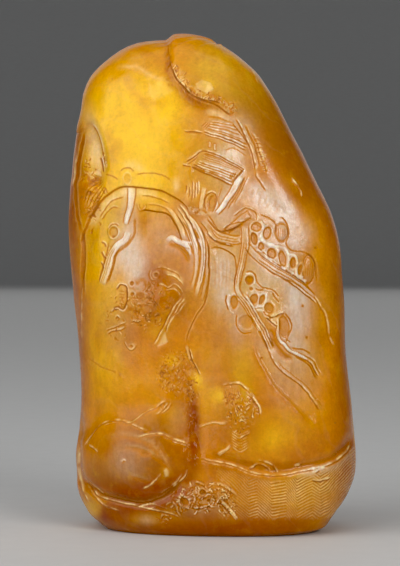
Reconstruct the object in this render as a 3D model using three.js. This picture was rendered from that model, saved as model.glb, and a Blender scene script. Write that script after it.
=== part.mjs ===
// A river boulder of yellow soapstone, carved in thin relief with a landscape: a crown of two lobes,
// a recessed face with two hall roofs and pine boughs, a rounded cliff with its own pines, a low
// mound, and water round the foot. It is one solid stone that stands on its sawn underside.
// Units are millimetres. +Z is up, the carved face looks along -Y, and the underside is at Z = 0.

import * as THREE from "three";

// Driving sizes of the whole stone.
const HEIGHT = 98.5;
const WIDTH = 57.2;
const DEPTH = 38.4;

// The uncut stone, as rings from the underside to just below the place where they close. Each row:
// height of the left and the right end, left and right end seen from the front, reach to the front
// and the back. Heights are shares of HEIGHT, ends of WIDTH and reaches of DEPTH.
// The upper rings tip to the right, so that they close on the smooth right shoulder and not beside
// the crown's cleft.
const RINGS = [
  [0.0, 0.0, -0.366, 0.366, 0.39, 0.35],
  [0.009, 0.009, -0.392, 0.406, 0.425, 0.39],
  [0.025, 0.025, -0.424, 0.426, 0.449, 0.415],
  [0.048, 0.048, -0.447, 0.452, 0.466, 0.44],
  [0.077, 0.077, -0.465, 0.481, 0.482, 0.46],
  [0.108, 0.108, -0.468, 0.498, 0.492, 0.475],
  [0.148, 0.148, -0.471, 0.502, 0.497, 0.488],
  [0.199, 0.199, -0.461, 0.497, 0.5, 0.497],
  [0.26, 0.26, -0.457, 0.488, 0.5, 0.502],
  [0.33, 0.33, -0.457, 0.475, 0.495, 0.505],
  [0.392, 0.392, -0.459, 0.468, 0.49, 0.505],
  [0.45, 0.45, -0.471, 0.465, 0.485, 0.502],
  [0.51, 0.51, -0.485, 0.46, 0.477, 0.495],
  [0.575, 0.575, -0.494, 0.451, 0.466, 0.485],
  [0.635, 0.635, -0.498, 0.423, 0.45, 0.47],
  [0.696, 0.696, -0.49, 0.375, 0.43, 0.45],
  [0.756, 0.756, -0.481, 0.323, 0.403, 0.412],
  [0.808, 0.804, -0.472, 0.281, 0.375, 0.38],
  [0.844, 0.835, -0.449, 0.256, 0.352, 0.355],
  [0.881, 0.869, -0.439, 0.226, 0.325, 0.322],
  [0.916, 0.899, -0.412, 0.193, 0.294, 0.288],
  [0.948, 0.922, -0.356, 0.163, 0.258, 0.25],
  [0.9685, 0.938, -0.308, 0.133, 0.225, 0.217],
  [0.985, 0.95, -0.248, 0.108, 0.188, 0.181],
  [0.9965, 0.96, -0.165, 0.085, 0.147, 0.142],
  [1.0, 0.9675, -0.091, 0.065, 0.106, 0.103],
  [0.9945, 0.9725, -0.031, 0.051, 0.064, 0.062],
  [0.9885, 0.9765, 0.0, 0.038, 0.032, 0.031],
];
const CLOSE = [0.018, 0.983]; // where the rings close, as shares of WIDTH and HEIGHT
const SQUARENESS = 2.4; // of a ring: 2 is an ellipse, higher is boxier
const TWIST = 0.12; // how far the right side comes forward and the left goes back, per millimetre

// The carving is laid out flat, as drawn on a pane in front of the stone and cut straight in.
const EYE_DISTANCE = 560; // from the eye to the middle of the stone
const EYE_TILT = THREE.MathUtils.degToRad(2); // how far the eye looks down
const EYE_LEVEL = 49; // the height that it looks at

// Faces that turn away from the eye carry less of the carving, and none past these slopes.
const CARVED = [0.02, 0.24];
const CARRIED_ROUND = [-0.45, -0.1];

// The mesh: a square grid of points wrapped round the stone, thinned where it is smooth.
const GRID = 512;
const FRONT_SHARE = 0.3; // how much more closely the grid's columns stand at the front
const GATHER = 0.7; // how far the rows gather where the rings are small: 0 not at all, 1 in proportion
const FLAT_ROWS = 0.035; // the share of the rows that cover the underside
const SLACK = 0.175; // how far a flat facet may miss the true surface
const COARSEST = 32; // the widest step that a facet may span, in grid steps

const smooth = THREE.MathUtils.smoothstep;
const bell = (x) => Math.exp(-x * x);

// A smooth run of values through the rows of a table, by cubic Hermite spans on its own knots.
function through(knots, rows, s) {
  const last = knots.length - 2;
  let i = 1;
  while (i < last - 1 && s > knots[i + 1]) i++;
  const step = knots[i + 1] - knots[i];
  const t = THREE.MathUtils.clamp((s - knots[i]) / step, 0, 1);
  const slope = (j, k) => {
    const before = knots[j] - knots[j - 1];
    const after = knots[j + 1] - knots[j];
    const rise = (rows[j][k] - rows[j - 1][k]) / before;
    const next = (rows[j + 1][k] - rows[j][k]) / after;
    return ((rise * after + next * before) / (before + after)) * step;
  };
  return rows[i].map((from, k) => {
    const to = rows[i + 1][k];
    const cube = (2 * t - 3) * t * t;
    const lead = (t - 1) * (t - 1) * t;
    const trail = (t - 1) * t * t;
    return from + cube * (from - to) + lead * slope(i, k) + trail * slope(i + 1, k);
  });
}

// The rings in millimetres. A row is added before the first and after the last, so that the sides
// leave and arrive in the right direction: past the closing point, left and right change places.
function boulder() {
  const rows = RINGS.map(([leftUp, rightUp, left, right, front, back]) => [
    leftUp * HEIGHT,
    rightUp * HEIGHT,
    left * WIDTH,
    right * WIDTH,
    front * DEPTH,
    back * DEPTH,
  ]);
  const [x, z] = [CLOSE[0] * WIDTH, CLOSE[1] * HEIGHT];
  const [leftUp, rightUp, left, right, front, back] = rows[rows.length - 1];
  rows.push([z, z, x, x, 0, 0], [rightUp, leftUp, right, left, -front, -back]);
  rows.unshift(rows[0].map((value, k) => 2 * value - rows[1][k]));
  const girth = (row) => Math.hypot(row[3] - row[2], row[1] - row[0]) / 2 + (row[4] + row[5]) / 2;
  const knots = [0];
  for (let i = 1; i < rows.length; i++) {
    const [a, b] = [rows[i - 1], rows[i]];
    const way = Math.hypot(b[0] - a[0], b[2] - a[2]) + Math.hypot(b[1] - a[1], b[3] - a[3]);
    const around = Math.abs(girth(a) + girth(b));
    knots.push(knots[i - 1] + way / around ** GATHER);
  }
  return { knots, rows };
}

const STONE = boulder();

// The point of the uncut stone at u round it, from 0 and 1 at the back to 0.5 at the front, and v up
// it, from 0 at the underside's middle to 1 where the rings close.
function stonePoint(u, v) {
  const s = u - 0.5;
  const around = 2 * Math.PI * (s * (1 - FRONT_SHARE) + 4 * FRONT_SHARE * s ** 3);
  const { knots, rows } = STONE;
  const up = Math.max(0, (v - FLAT_ROWS) / (1 - FLAT_ROWS));
  const first = knots[1];
  const span = knots[knots.length - 2] - first;
  const [leftUp, rightUp, left, right, front, back] = through(knots, rows, first + up * span);
  const [across, along] = [Math.sin(around), Math.cos(around)];
  const half = Math.hypot(right - left, rightUp - leftUp) / 2;
  const reach = along > 0 ? front : back;
  const round = (x, size) => (size === 0 ? 0 : Math.abs(x / size) ** SQUARENESS);
  const sum = round(across, half) + round(along, reach);
  const radius = sum === 0 ? 0 : Math.min(1, v / FLAT_ROWS) * sum ** (-1 / SQUARENESS);
  const way = half === 0 ? 0.5 : 0.5 + (radius * across) / half / 2;
  return new THREE.Vector3(
    THREE.MathUtils.lerp(left, right, way),
    -radius * (along + TWIST * across),
    THREE.MathUtils.lerp(leftUp, rightUp, way),
  );
}

// Where a point stands on the drawing, as X to the right and Z up from the underside.
function drawn(point) {
  const [sin, cos] = [Math.sin(EYE_TILT), Math.cos(EYE_TILT)];
  const above = point.z - EYE_LEVEL;
  const far = EYE_DISTANCE + point.y * cos - above * sin;
  const size = EYE_DISTANCE / far;
  return [point.x * size, EYE_LEVEL + (above * cos + point.y * sin) * size];
}

// A line of the drawing: a smooth curve through a few points, cut into short straight pieces.
const PIECE = 0.8;
function line(points) {
  const curve = new THREE.CatmullRomCurve3(
    points.map(([x, z]) => new THREE.Vector3(x, z, 0)),
    false,
    "centripetal",
  );
  const count = Math.max(2, Math.ceil(curve.getLength() / PIECE));
  const dots = curve.getSpacedPoints(count).map((p) => [p.x, p.y]);
  const xs = dots.map((p) => p[0]);
  const zs = dots.map((p) => p[1]);
  const box = [Math.min(...xs), Math.max(...xs), Math.min(...zs), Math.max(...zs)];
  return { dots, box };
}

// How far [x, z] lies from a line, positive on its right as it runs, and how far along it, 0 to 1.
function offset({ dots }, x, z) {
  let best = Infinity;
  let found = [Infinity, 0];
  for (let i = 1; i < dots.length; i++) {
    const [[ax, az], [bx, bz]] = [dots[i - 1], dots[i]];
    const [dx, dz, px, pz] = [bx - ax, bz - az, x - ax, z - az];
    const length2 = dx * dx + dz * dz;
    const t = THREE.MathUtils.clamp((px * dx + pz * dz) / length2, 0, 1);
    const gap2 = (px - t * dx) ** 2 + (pz - t * dz) ** 2;
    if (gap2 < best) {
      best = gap2;
      const side = dz * px - dx * pz > 0 ? 1 : -1;
      found = [side * Math.sqrt(gap2), (i - 1 + t) / (dots.length - 1)];
    }
  }
  return found;
}

// Each cut returns how much it raises or lowers the stone at [x, z], and the box that it touches.
const near = (box, x, z, room) =>
  x > box[0] - room && x < box[1] + room && z > box[2] - room && z < box[3] + room;
const ends = (t, share) => smooth(t, 0, share) * smooth(1 - t, 0, share);

// A rounded bough, root or rim standing proud by height, or a channel where height is below 0.
function bough(height, wide, points, taper = 0.12) {
  const path = line(points);
  return (x, z) => {
    if (!near(path.box, x, z, 2 * wide)) return 0;
    const [gap, t] = offset(path, x, z);
    return height * bell(gap / (wide / 2)) * ends(t, taper);
  };
}

// A cliff edge: the stone to the right of the line drops by depth over edge, and comes back over reach.
function cliff(depth, edge, reach, points, taper = 0.12) {
  const path = line(points);
  return (x, z) => {
    if (!near(path.box, x, z, reach)) return 0;
    const [gap, t] = offset(path, x, z);
    return -depth * smooth(gap, -edge / 2, edge / 2) * (1 - smooth(gap, 0, reach)) * ends(t, taper);
  };
}

// A broad swelling or hollow, oval, with its middle, half sizes, turn in degrees and height.
function swell(height, [cx, cz], [rx, rz], turn = 0) {
  const [sin, cos] = [Math.sin(turn * THREE.MathUtils.DEG2RAD), Math.cos(turn * THREE.MathUtils.DEG2RAD)];
  return (x, z) => {
    const [a, b] = [(x - cx) * cos + (z - cz) * sin, (z - cz) * cos - (x - cx) * sin];
    const out = Math.hypot(a / rx, b / rz);
    return out < 1 ? height * (1 - out * out) ** 2 : 0;
  };
}

// A slab with straight sides, such as a roof: the stone inside its corners rises by height.
function slab(height, edge, corners) {
  const outline = corners.map(([x, z], i) => [x, z, ...corners[(i + 1) % corners.length]]);
  return (x, z) => {
    let inside = Infinity;
    for (const [ax, az, bx, bz] of outline) {
      const [dx, dz] = [bx - ax, bz - az];
      inside = Math.min(inside, (dz * (x - ax) - dx * (z - az)) / Math.hypot(dx, dz));
    }
    return inside > 0 ? height * smooth(inside, 0, edge) : 0;
  };
}

// One leaf of a bough's foliage: an oval hollow, or a dome where height is above 0.
function leaf(height, [cx, cz], [rx, rz], turn = 0) {
  const angle = turn * THREE.MathUtils.DEG2RAD;
  const [sin, cos] = [Math.sin(angle), Math.cos(angle)];
  return (x, z) => {
    const [a, b] = [(x - cx) * cos + (z - cz) * sin, (z - cz) * cos - (x - cx) * sin];
    return height * (1 - smooth(Math.hypot(a / rx, b / rz), 0.5, 1.2));
  };
}

// Cuts that run on past the edge of the front view: the crown's cleft and the left flank.
function carriedRound() {
  const cleft = [
    [-8.2, 102], [-8, 94], [-7.3, 90.5], [-5.2, 87.4],
    [-2.6, 85.2], [0.6, 84.9], [3.6, 83.6], [6, 81.2],
  ];
  const flank = [[-25.8, 83.2], [-23.8, 81.4], [-22.6, 78.6], [-21.6, 75.4], [-21.2, 72], [-22.6, 67]];
  return [
    bough(-1.2, 3.2, cleft, 0.08),
    cliff(1.2, 2.2, 9, cleft, 0.1),
    cliff(1.4, 1.6, 8, flank, 0.14),
  ];
}

// The broad forms of the front: the recessed face, the mound, the two halves of the body and the
// valley between them. The cliffs run so that their lower side is on the right hand.
function frontForms() {
  const faceEdge = [
    [5.2, 81.6], [7.4, 77.4], [9.2, 72.6], [11, 69.4], [13.6, 65.6],
    [16.2, 62.2], [18.8, 58], [20.8, 53.4], [21.8, 47.6], [23.4, 42],
  ];
  const faceFoot = [[20.8, 53.4], [22, 47.6], [23.6, 43.4], [24.2, 38.6], [23.6, 32], [21.6, 26], [18.6, 20]];
  const valley = [[-4.6, 41], [-4.2, 36], [-4, 30], [-3.8, 25], [-3.2, 19.6], [-2, 15.4], [-1.4, 11]];
  const moundTop = [
    [-7.4, 25.4], [-9.6, 24.6], [-12.4, 23.4], [-15.4, 22], [-19, 21.4], [-22.4, 18.8], [-25, 15],
  ];
  const moundFold = [[-3.4, 16], [-5.6, 17.4], [-8.4, 18.6], [-11.2, 19], [-14.4, 17.6]];
  return [
    cliff(1.2, 1.4, 11, faceEdge, 0.16),
    cliff(0.9, 3.4, 11, faceFoot, 0.35),
    swell(2.2, [-14.8, 13.6], [14, 12]),
    swell(1.0, [13, 24], [17, 20]),
    swell(0.8, [-16, 35], [11, 17]),
    swell(-1.2, [-9.5, 52.5], [9, 15]),
    swell(0.8, [-15, 77], [15, 15]),
    bough(-1.5, 9, valley, 0.35),
    bough(-1.1, 2.6, valley.slice(2), 0.3),
    cliff(0.8, 1.2, 7, moundTop, 0.2),
    cliff(0.6, 1.0, 5, moundFold, 0.25),
  ];
}

// The foot: the rocks stand over the water along a line that dips at the mound and at the valley.
function foot() {
  const left = [
    [-26.8, 24], [-26.6, 14], [-25.6, 9.6], [-22.4, 7], [-18, 5.6],
    [-14, 4.6], [-10.6, 5.3], [-7.4, 7.6], [-5.2, 9.6],
  ];
  const right = [
    [28.6, 20.5], [26.2, 16.2], [23.4, 13.6], [19, 11.4], [15, 10.3],
    [10.8, 10.1], [6.8, 11], [2.4, 12.9], [-2, 14.2],
  ];
  return [
    bough(-1.2, 1.9, left, 0.1),
    bough(-1.2, 1.9, right, 0.1),
    bough(0.5, 2.0, right.map(([x, z]) => [x, z - 1.7]), 0.16),
    swell(1.0, [-4.6, 5.6], [4.4, 4]),
    swell(0.8, [2, 7], [4.2, 3.2], -24),
  ];
}

// The rounded cliff on the left, with the pine in front of it.
function cliffArch() {
  const outer = [
    [-25.6, 47], [-25.4, 54.6], [-24.2, 59.6], [-22, 63.6], [-19, 66.2],
    [-15.4, 67.6], [-11, 67.4], [-7.4, 66], [-4.4, 63],
  ];
  const inner = [[-14, 61.6], [-10.6, 61.4], [-7.6, 60.2], [-5.8, 57.8], [-4.6, 54.2], [-4.4, 50]];
  const pine = [
    [-16, 67.2], [-16.8, 63.6], [-16.6, 60.2], [-17.2, 57.2], [-19.2, 54.6], [-20.4, 51], [-21.2, 47.2],
  ];
  return [
    bough(-0.9, 1.6, outer, 0.1),
    cliff(0.6, 1.0, 8, outer, 0.1),
    cliff(0.6, 1.0, 6, inner, 0.15),
    bough(0.7, 2.0, pine),
    swell(0.8, [-9.6, 44], [4.6, 5]),
    cliff(0.6, 1.0, 5, [[-5, 47.6], [-7, 43.4], [-10, 39], [-12.4, 35.6]], 0.25),
  ];
}

// The trunk and the boughs that spread over the recessed face.
function boughs() {
  const trunk = [[-6.4, 67], [-3.4, 62.8], [-1.6, 58.6], [-1, 54], [-1.6, 49.2], [-3.4, 44.6]];
  const low = [[-3.6, 65.6], [-0.6, 61.6], [2.4, 58.8], [5.6, 59.6], [9, 62.2]];
  const drop = [[7.2, 59.6], [6.6, 55.8], [6, 51.4], [5.8, 47.4], [7.2, 43.4], [9.4, 40.4]];
  const long = [[7.4, 56.6], [11, 52.6], [14, 50.2], [17.4, 48.2], [20.6, 44.8]];
  const sweep = [[9.4, 43.4], [12.4, 41], [13.6, 37.6], [15.8, 34.8], [18.6, 34], [21.4, 31]];
  const crest = [[10.4, 40], [12.4, 34.8], [15.2, 31.2], [18.4, 28.4], [21.8, 23.6]];
  return [
    bough(0.8, 2.4, trunk),
    bough(0.7, 2.0, low),
    bough(0.7, 1.9, drop),
    bough(0.75, 2.2, long),
    bough(0.6, 1.7, sweep),
    bough(0.5, 1.5, crest),
  ];
}

// The foliage: height, middle, half sizes and turn of each leaf.
const PIT = -0.7;
const DOME = 0.6;
const LEAVES = [
  [PIT, [9, 60.4], [1.5, 1.2], 20],
  [PIT, [11.7, 59], [1.1, 1.5], -10],
  [DOME, [14.2, 58.8], [1.5, 2.5]],
  [PIT, [9.3, 56.8], [1.2, 1.6], 10],
  [PIT, [12.3, 54.3], [1.2, 1.6], 15],
  [PIT, [14.7, 54], [1.2, 2.1], 10],
  [PIT, [17.4, 52.2], [1.3, 1.6], -10],
  [DOME, [20.1, 51.4], [1.4, 3]],
  [PIT, [8.0, 49.1], [1.2, 1.2]],
  [PIT, [8.8, 45.8], [1.1, 1.4], -25],
  [PIT, [11, 45.8], [1.0, 1.4], -25],
  [PIT, [4.6, 44.8], [1.2, 2]],
  [DOME, [6.8, 41], [2.2, 2]],
  [PIT, [12, 43.4], [1.4, 1.4], 30],
  [PIT, [15, 39], [1.6, 2.8], 5],
];

// The two hall roofs under the crown's overhang, each a slab with a proud eave, and the wall between.
function roofs() {
  return [
    slab(0.7, 0.7, [[-2, 80.8], [6.4, 79.2], [7.4, 76.4], [-3.6, 79.4]]),
    slab(0.7, 0.7, [[-3, 75.4], [1, 75.2], [6.6, 72], [5, 68.6], [-3.4, 72.2], [-5.4, 72.8]]),
    bough(0.5, 1.4, [[-5.4, 72.6], [-2.6, 75.4], [1.2, 75], [6.8, 71.8]]),
    bough(0.5, 1.4, [[-3.8, 79.4], [0.6, 78.4], [7.4, 76]]),
    bough(0.7, 1.8, [[6, 69.2], [4, 65.6], [1.2, 62]], 0.2),
  ];
}

// The small rock low in the middle.
function lowRock() {
  return [
    swell(0.7, [5.8, 24.4], [3.8, 5.4]),
    bough(0.4, 1.4, [[3.4, 28.4], [6.6, 28.2], [8.8, 25.6], [9.8, 22]]),
  ];
}

const CARRIED = carriedRound();
const FRONT = [
  ...frontForms(),
  ...foot(),
  ...cliffArch(),
  ...boughs(),
  ...LEAVES.map((row) => leaf(...row)),
  ...roofs(),
  ...lowRock(),
];

// The back is left almost whole: the foot line runs on round it, under three long rock folds.
const BACK_FOOT = [
  [-28.4, 20], [-22, 15.6], [-14, 12.6], [-4, 11.2],
  [6, 11.8], [16, 13.6], [23, 16.4], [27.6, 22],
];
const BACK = [
  bough(-1.0, 2.0, BACK_FOOT, 0.06),
  cliff(0.9, 1.6, 8, [[-20, 62], [-12, 70], [-3, 73.4], [6, 72], [13, 66.4]], 0.25),
  cliff(0.8, 1.6, 8, [[-24, 40], [-17, 46.4], [-9, 48], [-1, 44], [5, 37]], 0.25),
  cliff(0.8, 1.6, 8, [[1, 33], [8, 39.6], [15.4, 40.4], [22, 36]], 0.25),
  swell(0.8, [-8, 28], [16, 14]),
];

const sum = (cuts, x, z) => cuts.reduce((total, cut) => total + cut(x, z), 0);

// The outward direction where the rings close.
const SHOULDER = new THREE.Vector3(0.5, 0, 0.87).normalize();

// How far the carving raises or lowers the stone at a point whose outward direction is known.
function carving(point, normal) {
  const [x, z] = drawn(point);
  const facing = -normal.y * Math.cos(EYE_TILT) + normal.z * Math.sin(EYE_TILT);
  const front = smooth(facing, ...CARVED);
  const round = smooth(facing, ...CARRIED_ROUND);
  const behind = smooth(-facing, ...CARVED);
  let height = 0;
  if (front > 0) height += front * sum(FRONT, x, z);
  if (round > 0) height += round * sum(CARRIED, x, z);
  if (behind > 0) height += behind * sum(BACK, point.x, point.z);
  return height;
}

// The carved surface on the grid: each point moves along the uncut stone's own outward direction.
// The underside stays flat, and the cuts fade in over the first millimetre above it.
function surface() {
  const side = GRID + 1;
  const plain = [];
  for (let row = 0; row < side; row++) {
    for (let column = 0; column < side; column++) plain.push(stonePoint(column / GRID, row / GRID));
  }
  const at = (column, row) => plain[row * side + ((column + GRID) % GRID)];
  const normals = [];
  const carved = [];
  for (let row = 0; row < side; row++) {
    for (let column = 0; column < side; column++) {
      const point = at(column, row);
      const normal = row === GRID ? SHOULDER.clone() : new THREE.Vector3(0, 0, -1);
      if (row > 0 && row < GRID && point.z > 0) {
        const round = at(column + 1, row).clone().sub(at(column - 1, row));
        const up = at(column, row + 1).clone().sub(at(column, row - 1));
        normal.crossVectors(round, up).normalize();
      }
      const rooted = smooth(point.z, 0, 1.2);
      const height = row < GRID && rooted > 0 ? rooted * carving(point, normal) : 0;
      normals.push(normal);
      carved.push(point.clone().addScaledVector(normal, height));
    }
  }
  return { carved, normals };
}

// How far each grid point stands off the middle of the edge that a coarser facet would have there.
// A point that finer points hang from takes their largest value, so that facets always meet.
function needs({ carved, normals }) {
  const side = GRID + 1;
  const need = new Float32Array(side * side);
  const place = (column, row) => row * side + ((column + GRID) % GRID);
  const stand = (column, row, dc, dr) => {
    const here = place(column, row);
    const middle = carved[place(column - dc, row - dr)].clone().add(carved[place(column + dc, row + dr)]);
    return Math.abs(middle.multiplyScalar(0.5).sub(carved[here]).dot(normals[here]));
  };
  const take = (column, row, own, around) => {
    let most = own;
    for (const [dc, dr] of around) {
      if (row + dr >= 0 && row + dr <= GRID) most = Math.max(most, need[place(column + dc, row + dr)]);
    }
    need[row * side + column] = most;
    if (column === 0) need[row * side + GRID] = most;
  };
  for (let step = 1; step < GRID; step *= 2) {
    const half = step / 2;
    const corners = half < 1 ? [] : [[half, half], [-half, half], [half, -half], [-half, -half]];
    for (let row = 0; row <= GRID; row += step) {
      const level = (row / step) % 2 === 0;
      for (let column = level ? step : 0; column < GRID; column += 2 * step) {
        const own = level ? stand(column, row, step, 0) : stand(column, row, 0, step);
        take(column, row, step >= COARSEST ? Infinity : own, corners);
      }
    }
    const sides = [[step, 0], [-step, 0], [0, step], [0, -step]];
    for (let row = step; row < GRID; row += 2 * step) {
      for (let column = step; column < GRID; column += 2 * step) {
        const even = (Math.floor(row / (2 * step)) + Math.floor(column / (2 * step))) % 2 === 0;
        const own = stand(column, row, step, even ? step : -step);
        take(column, row, step >= COARSEST ? Infinity : own, sides);
      }
    }
  }
  return need;
}

// Facets of the stone: two large triangles cover the grid, and each splits while its long edge misses.
function facets(need) {
  const side = GRID + 1;
  const merged = (column, row) => {
    if (row === 0 || row === GRID) return row * side;
    return row * side + (column % GRID);
  };
  const index = [];
  const split = (ax, ay, bx, by, cx, cy) => {
    const [mx, my] = [(ax + bx) / 2, (ay + by) / 2];
    const small = Math.abs(ax - cx) + Math.abs(ay - cy) <= 1;
    if (!small && need[my * side + mx] > SLACK) {
      split(cx, cy, ax, ay, mx, my);
      split(bx, by, cx, cy, mx, my);
      return;
    }
    const corners = [merged(ax, ay), merged(cx, cy), merged(bx, by)];
    if (new Set(corners).size === 3) index.push(...corners);
  };
  split(0, 0, GRID, GRID, GRID, 0);
  split(GRID, GRID, 0, 0, 0, GRID);
  return index;
}

// One closed mesh, with only the grid points that a facet uses.
function carvedStone() {
  const made = surface();
  const corners = facets(needs(made));
  const used = new Map();
  const position = [];
  const index = corners.map((corner) => {
    if (!used.has(corner)) {
      used.set(corner, used.size);
      position.push(...made.carved[corner].toArray());
    }
    return used.get(corner);
  });
  const geometry = new THREE.BufferGeometry();
  geometry.setAttribute("position", new THREE.Float32BufferAttribute(position, 3));
  geometry.setIndex(index);
  geometry.computeVertexNormals();
  return geometry;
}

// Honey-yellow soapstone with a waxy polish.
const soapstone = new THREE.MeshStandardMaterial({ color: 0xd08a1c, roughness: 0.36, metalness: 0 });

const carving3d = new THREE.Group();
const boulderMesh = new THREE.Mesh(carvedStone(), soapstone);
boulderMesh.name = "carved_boulder";
carving3d.add(boulderMesh);

export default carving3d;
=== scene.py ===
# %% [markdown]
# A boulder of honey-yellow soapstone, carved all over its face in thin relief
#
# The real thing is a river boulder a hand high. A carver kept its shape, took off the skin at the
# front and drew a landscape into it a millimetre deep: a cleft crown, two hall roofs, pines, a
# rounded cliff, a mound and water round the foot. Then it was rubbed with fine grit and wax.
#
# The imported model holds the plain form. This script makes the same stone again with the fine
# carving in it, and gives it its colour, its waxy skin and its light.

# %% Load the frame
import math

import bpy
import numpy as np
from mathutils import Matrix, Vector


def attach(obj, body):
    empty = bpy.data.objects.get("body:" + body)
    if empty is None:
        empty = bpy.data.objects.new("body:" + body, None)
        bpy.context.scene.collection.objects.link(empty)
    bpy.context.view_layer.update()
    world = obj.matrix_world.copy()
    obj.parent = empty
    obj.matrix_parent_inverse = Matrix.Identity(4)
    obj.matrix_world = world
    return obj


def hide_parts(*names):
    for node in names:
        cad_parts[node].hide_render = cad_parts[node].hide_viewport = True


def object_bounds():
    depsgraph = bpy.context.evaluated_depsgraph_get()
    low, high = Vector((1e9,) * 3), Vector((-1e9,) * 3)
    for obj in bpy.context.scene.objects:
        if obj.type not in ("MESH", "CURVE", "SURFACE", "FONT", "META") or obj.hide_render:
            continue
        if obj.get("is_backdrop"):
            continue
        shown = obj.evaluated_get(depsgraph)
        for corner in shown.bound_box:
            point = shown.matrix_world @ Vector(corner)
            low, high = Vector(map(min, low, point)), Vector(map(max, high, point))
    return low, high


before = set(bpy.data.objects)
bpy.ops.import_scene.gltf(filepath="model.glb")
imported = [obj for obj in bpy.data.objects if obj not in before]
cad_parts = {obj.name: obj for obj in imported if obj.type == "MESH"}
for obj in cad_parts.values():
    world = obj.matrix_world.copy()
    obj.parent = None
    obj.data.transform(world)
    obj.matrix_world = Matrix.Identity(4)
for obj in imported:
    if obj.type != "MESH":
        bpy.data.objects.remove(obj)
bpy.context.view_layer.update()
MM = 0.001

# %% [markdown]
# The eye
#
# The camera could be placed by trial. But the carving is laid out as a drawing on a pane in front
# of the stone and cut straight in, so the eye that looks through that pane is also the camera. A
# long lens far away keeps the upright sides nearly parallel, as in a studio picture.

# %% Camera
EYE_DISTANCE = 560.0
EYE_TILT = math.radians(2)
EYE_LEVEL = 49.0
EYE_ASIDE = -2.0
VIEW_TALL = 113.2
SENSOR = 36.0


def added(name, data):
    """An object that holds the data, linked into the scene."""
    made = bpy.data.objects.new(name, data)
    bpy.context.scene.collection.objects.link(made)
    return made


camera = added("camera", bpy.data.cameras.new("camera"))
camera.data.sensor_width = SENSOR
camera.data.lens = SENSOR * EYE_DISTANCE / VIEW_TALL
camera.data.clip_start = 0.05
camera.data.clip_end = 20
camera.location = Vector((
    EYE_ASIDE,
    -EYE_DISTANCE * math.cos(EYE_TILT),
    EYE_LEVEL + EYE_DISTANCE * math.sin(EYE_TILT),
)) * MM
camera.rotation_euler = (math.radians(90) - EYE_TILT, 0, 0)
bpy.context.scene.camera = camera
print("lens in mm:", round(camera.data.lens, 1))

# %% [markdown]
# The uncut stone
#
# A boulder could be sculpted or started from a sphere. Here it is a stack of rings, because rings
# can be measured: how high, how far left and right, how far to the front and the back. Smooth
# curves run up through the rings, and the top ones tip so that they close on the smooth right
# shoulder. A ring's numbers are the heights of its left and right end, where these ends stand, and
# its reach to the front and the back: shares of the stone's height, width and depth.

# %% Rings
HEIGHT, WIDTH, DEPTH = 98.5, 57.2, 38.4
RINGS = np.array([
    [0.0, 0.0, -0.366, 0.366, 0.39, 0.35],
    [0.009, 0.009, -0.392, 0.406, 0.425, 0.39],
    [0.025, 0.025, -0.424, 0.426, 0.449, 0.415],
    [0.048, 0.048, -0.447, 0.452, 0.466, 0.44],
    [0.077, 0.077, -0.465, 0.481, 0.482, 0.46],
    [0.108, 0.108, -0.468, 0.498, 0.492, 0.475],
    [0.148, 0.148, -0.471, 0.502, 0.497, 0.488],
    [0.199, 0.199, -0.461, 0.497, 0.5, 0.497],
    [0.26, 0.26, -0.457, 0.488, 0.5, 0.502],
    [0.33, 0.33, -0.457, 0.475, 0.495, 0.505],
    [0.392, 0.392, -0.459, 0.468, 0.49, 0.505],
    [0.45, 0.45, -0.471, 0.465, 0.485, 0.502],
    [0.51, 0.51, -0.485, 0.46, 0.477, 0.495],
    [0.575, 0.575, -0.494, 0.451, 0.466, 0.485],
    [0.635, 0.635, -0.498, 0.423, 0.45, 0.47],
    [0.696, 0.696, -0.49, 0.375, 0.43, 0.45],
    [0.756, 0.756, -0.481, 0.323, 0.403, 0.412],
    [0.808, 0.804, -0.472, 0.281, 0.375, 0.38],
    [0.844, 0.835, -0.449, 0.256, 0.352, 0.355],
    [0.881, 0.869, -0.439, 0.226, 0.325, 0.322],
    [0.916, 0.899, -0.412, 0.193, 0.294, 0.288],
    [0.948, 0.922, -0.356, 0.163, 0.258, 0.25],
    [0.9685, 0.938, -0.308, 0.133, 0.225, 0.217],
    [0.985, 0.95, -0.248, 0.108, 0.188, 0.181],
    [0.9965, 0.96, -0.165, 0.085, 0.147, 0.142],
    [1.0, 0.9675, -0.091, 0.065, 0.106, 0.103],
    [0.9945, 0.9725, -0.031, 0.051, 0.064, 0.062],
    [0.9885, 0.9765, 0.0, 0.038, 0.032, 0.031],
])
CLOSE = (0.018, 0.983)
SQUARENESS = 2.4
TWIST = 0.12
GATHER = 0.7
FRONT_SHARE = 0.3
FLAT_ROWS = 0.035
print("rings:", len(RINGS))


def knots_and_rows():
    """Rings in mm, and a knot for each: knot = knot before + way moved / girth^GATHER."""
    rows = RINGS * [HEIGHT, HEIGHT, WIDTH, WIDTH, DEPTH, DEPTH]
    left_up, right_up, left, right, front, back = rows[-1]
    x, z = CLOSE[0] * WIDTH, CLOSE[1] * HEIGHT
    below = 2 * rows[0] - rows[1]
    beyond = [right_up, left_up, right, left, -front, -back]
    rows = np.vstack([below, rows, [z, z, x, x, 0, 0], beyond])
    girth = np.hypot(rows[:, 3] - rows[:, 2], rows[:, 1] - rows[:, 0]) / 2
    girth += (rows[:, 4] + rows[:, 5]) / 2
    move = np.diff(rows, axis=0)
    way = np.hypot(move[:, 0], move[:, 2]) + np.hypot(move[:, 1], move[:, 3])
    step = way / np.abs(girth[1:] + girth[:-1]) ** GATHER
    return np.concatenate([[0], np.cumsum(step)]), rows


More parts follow.
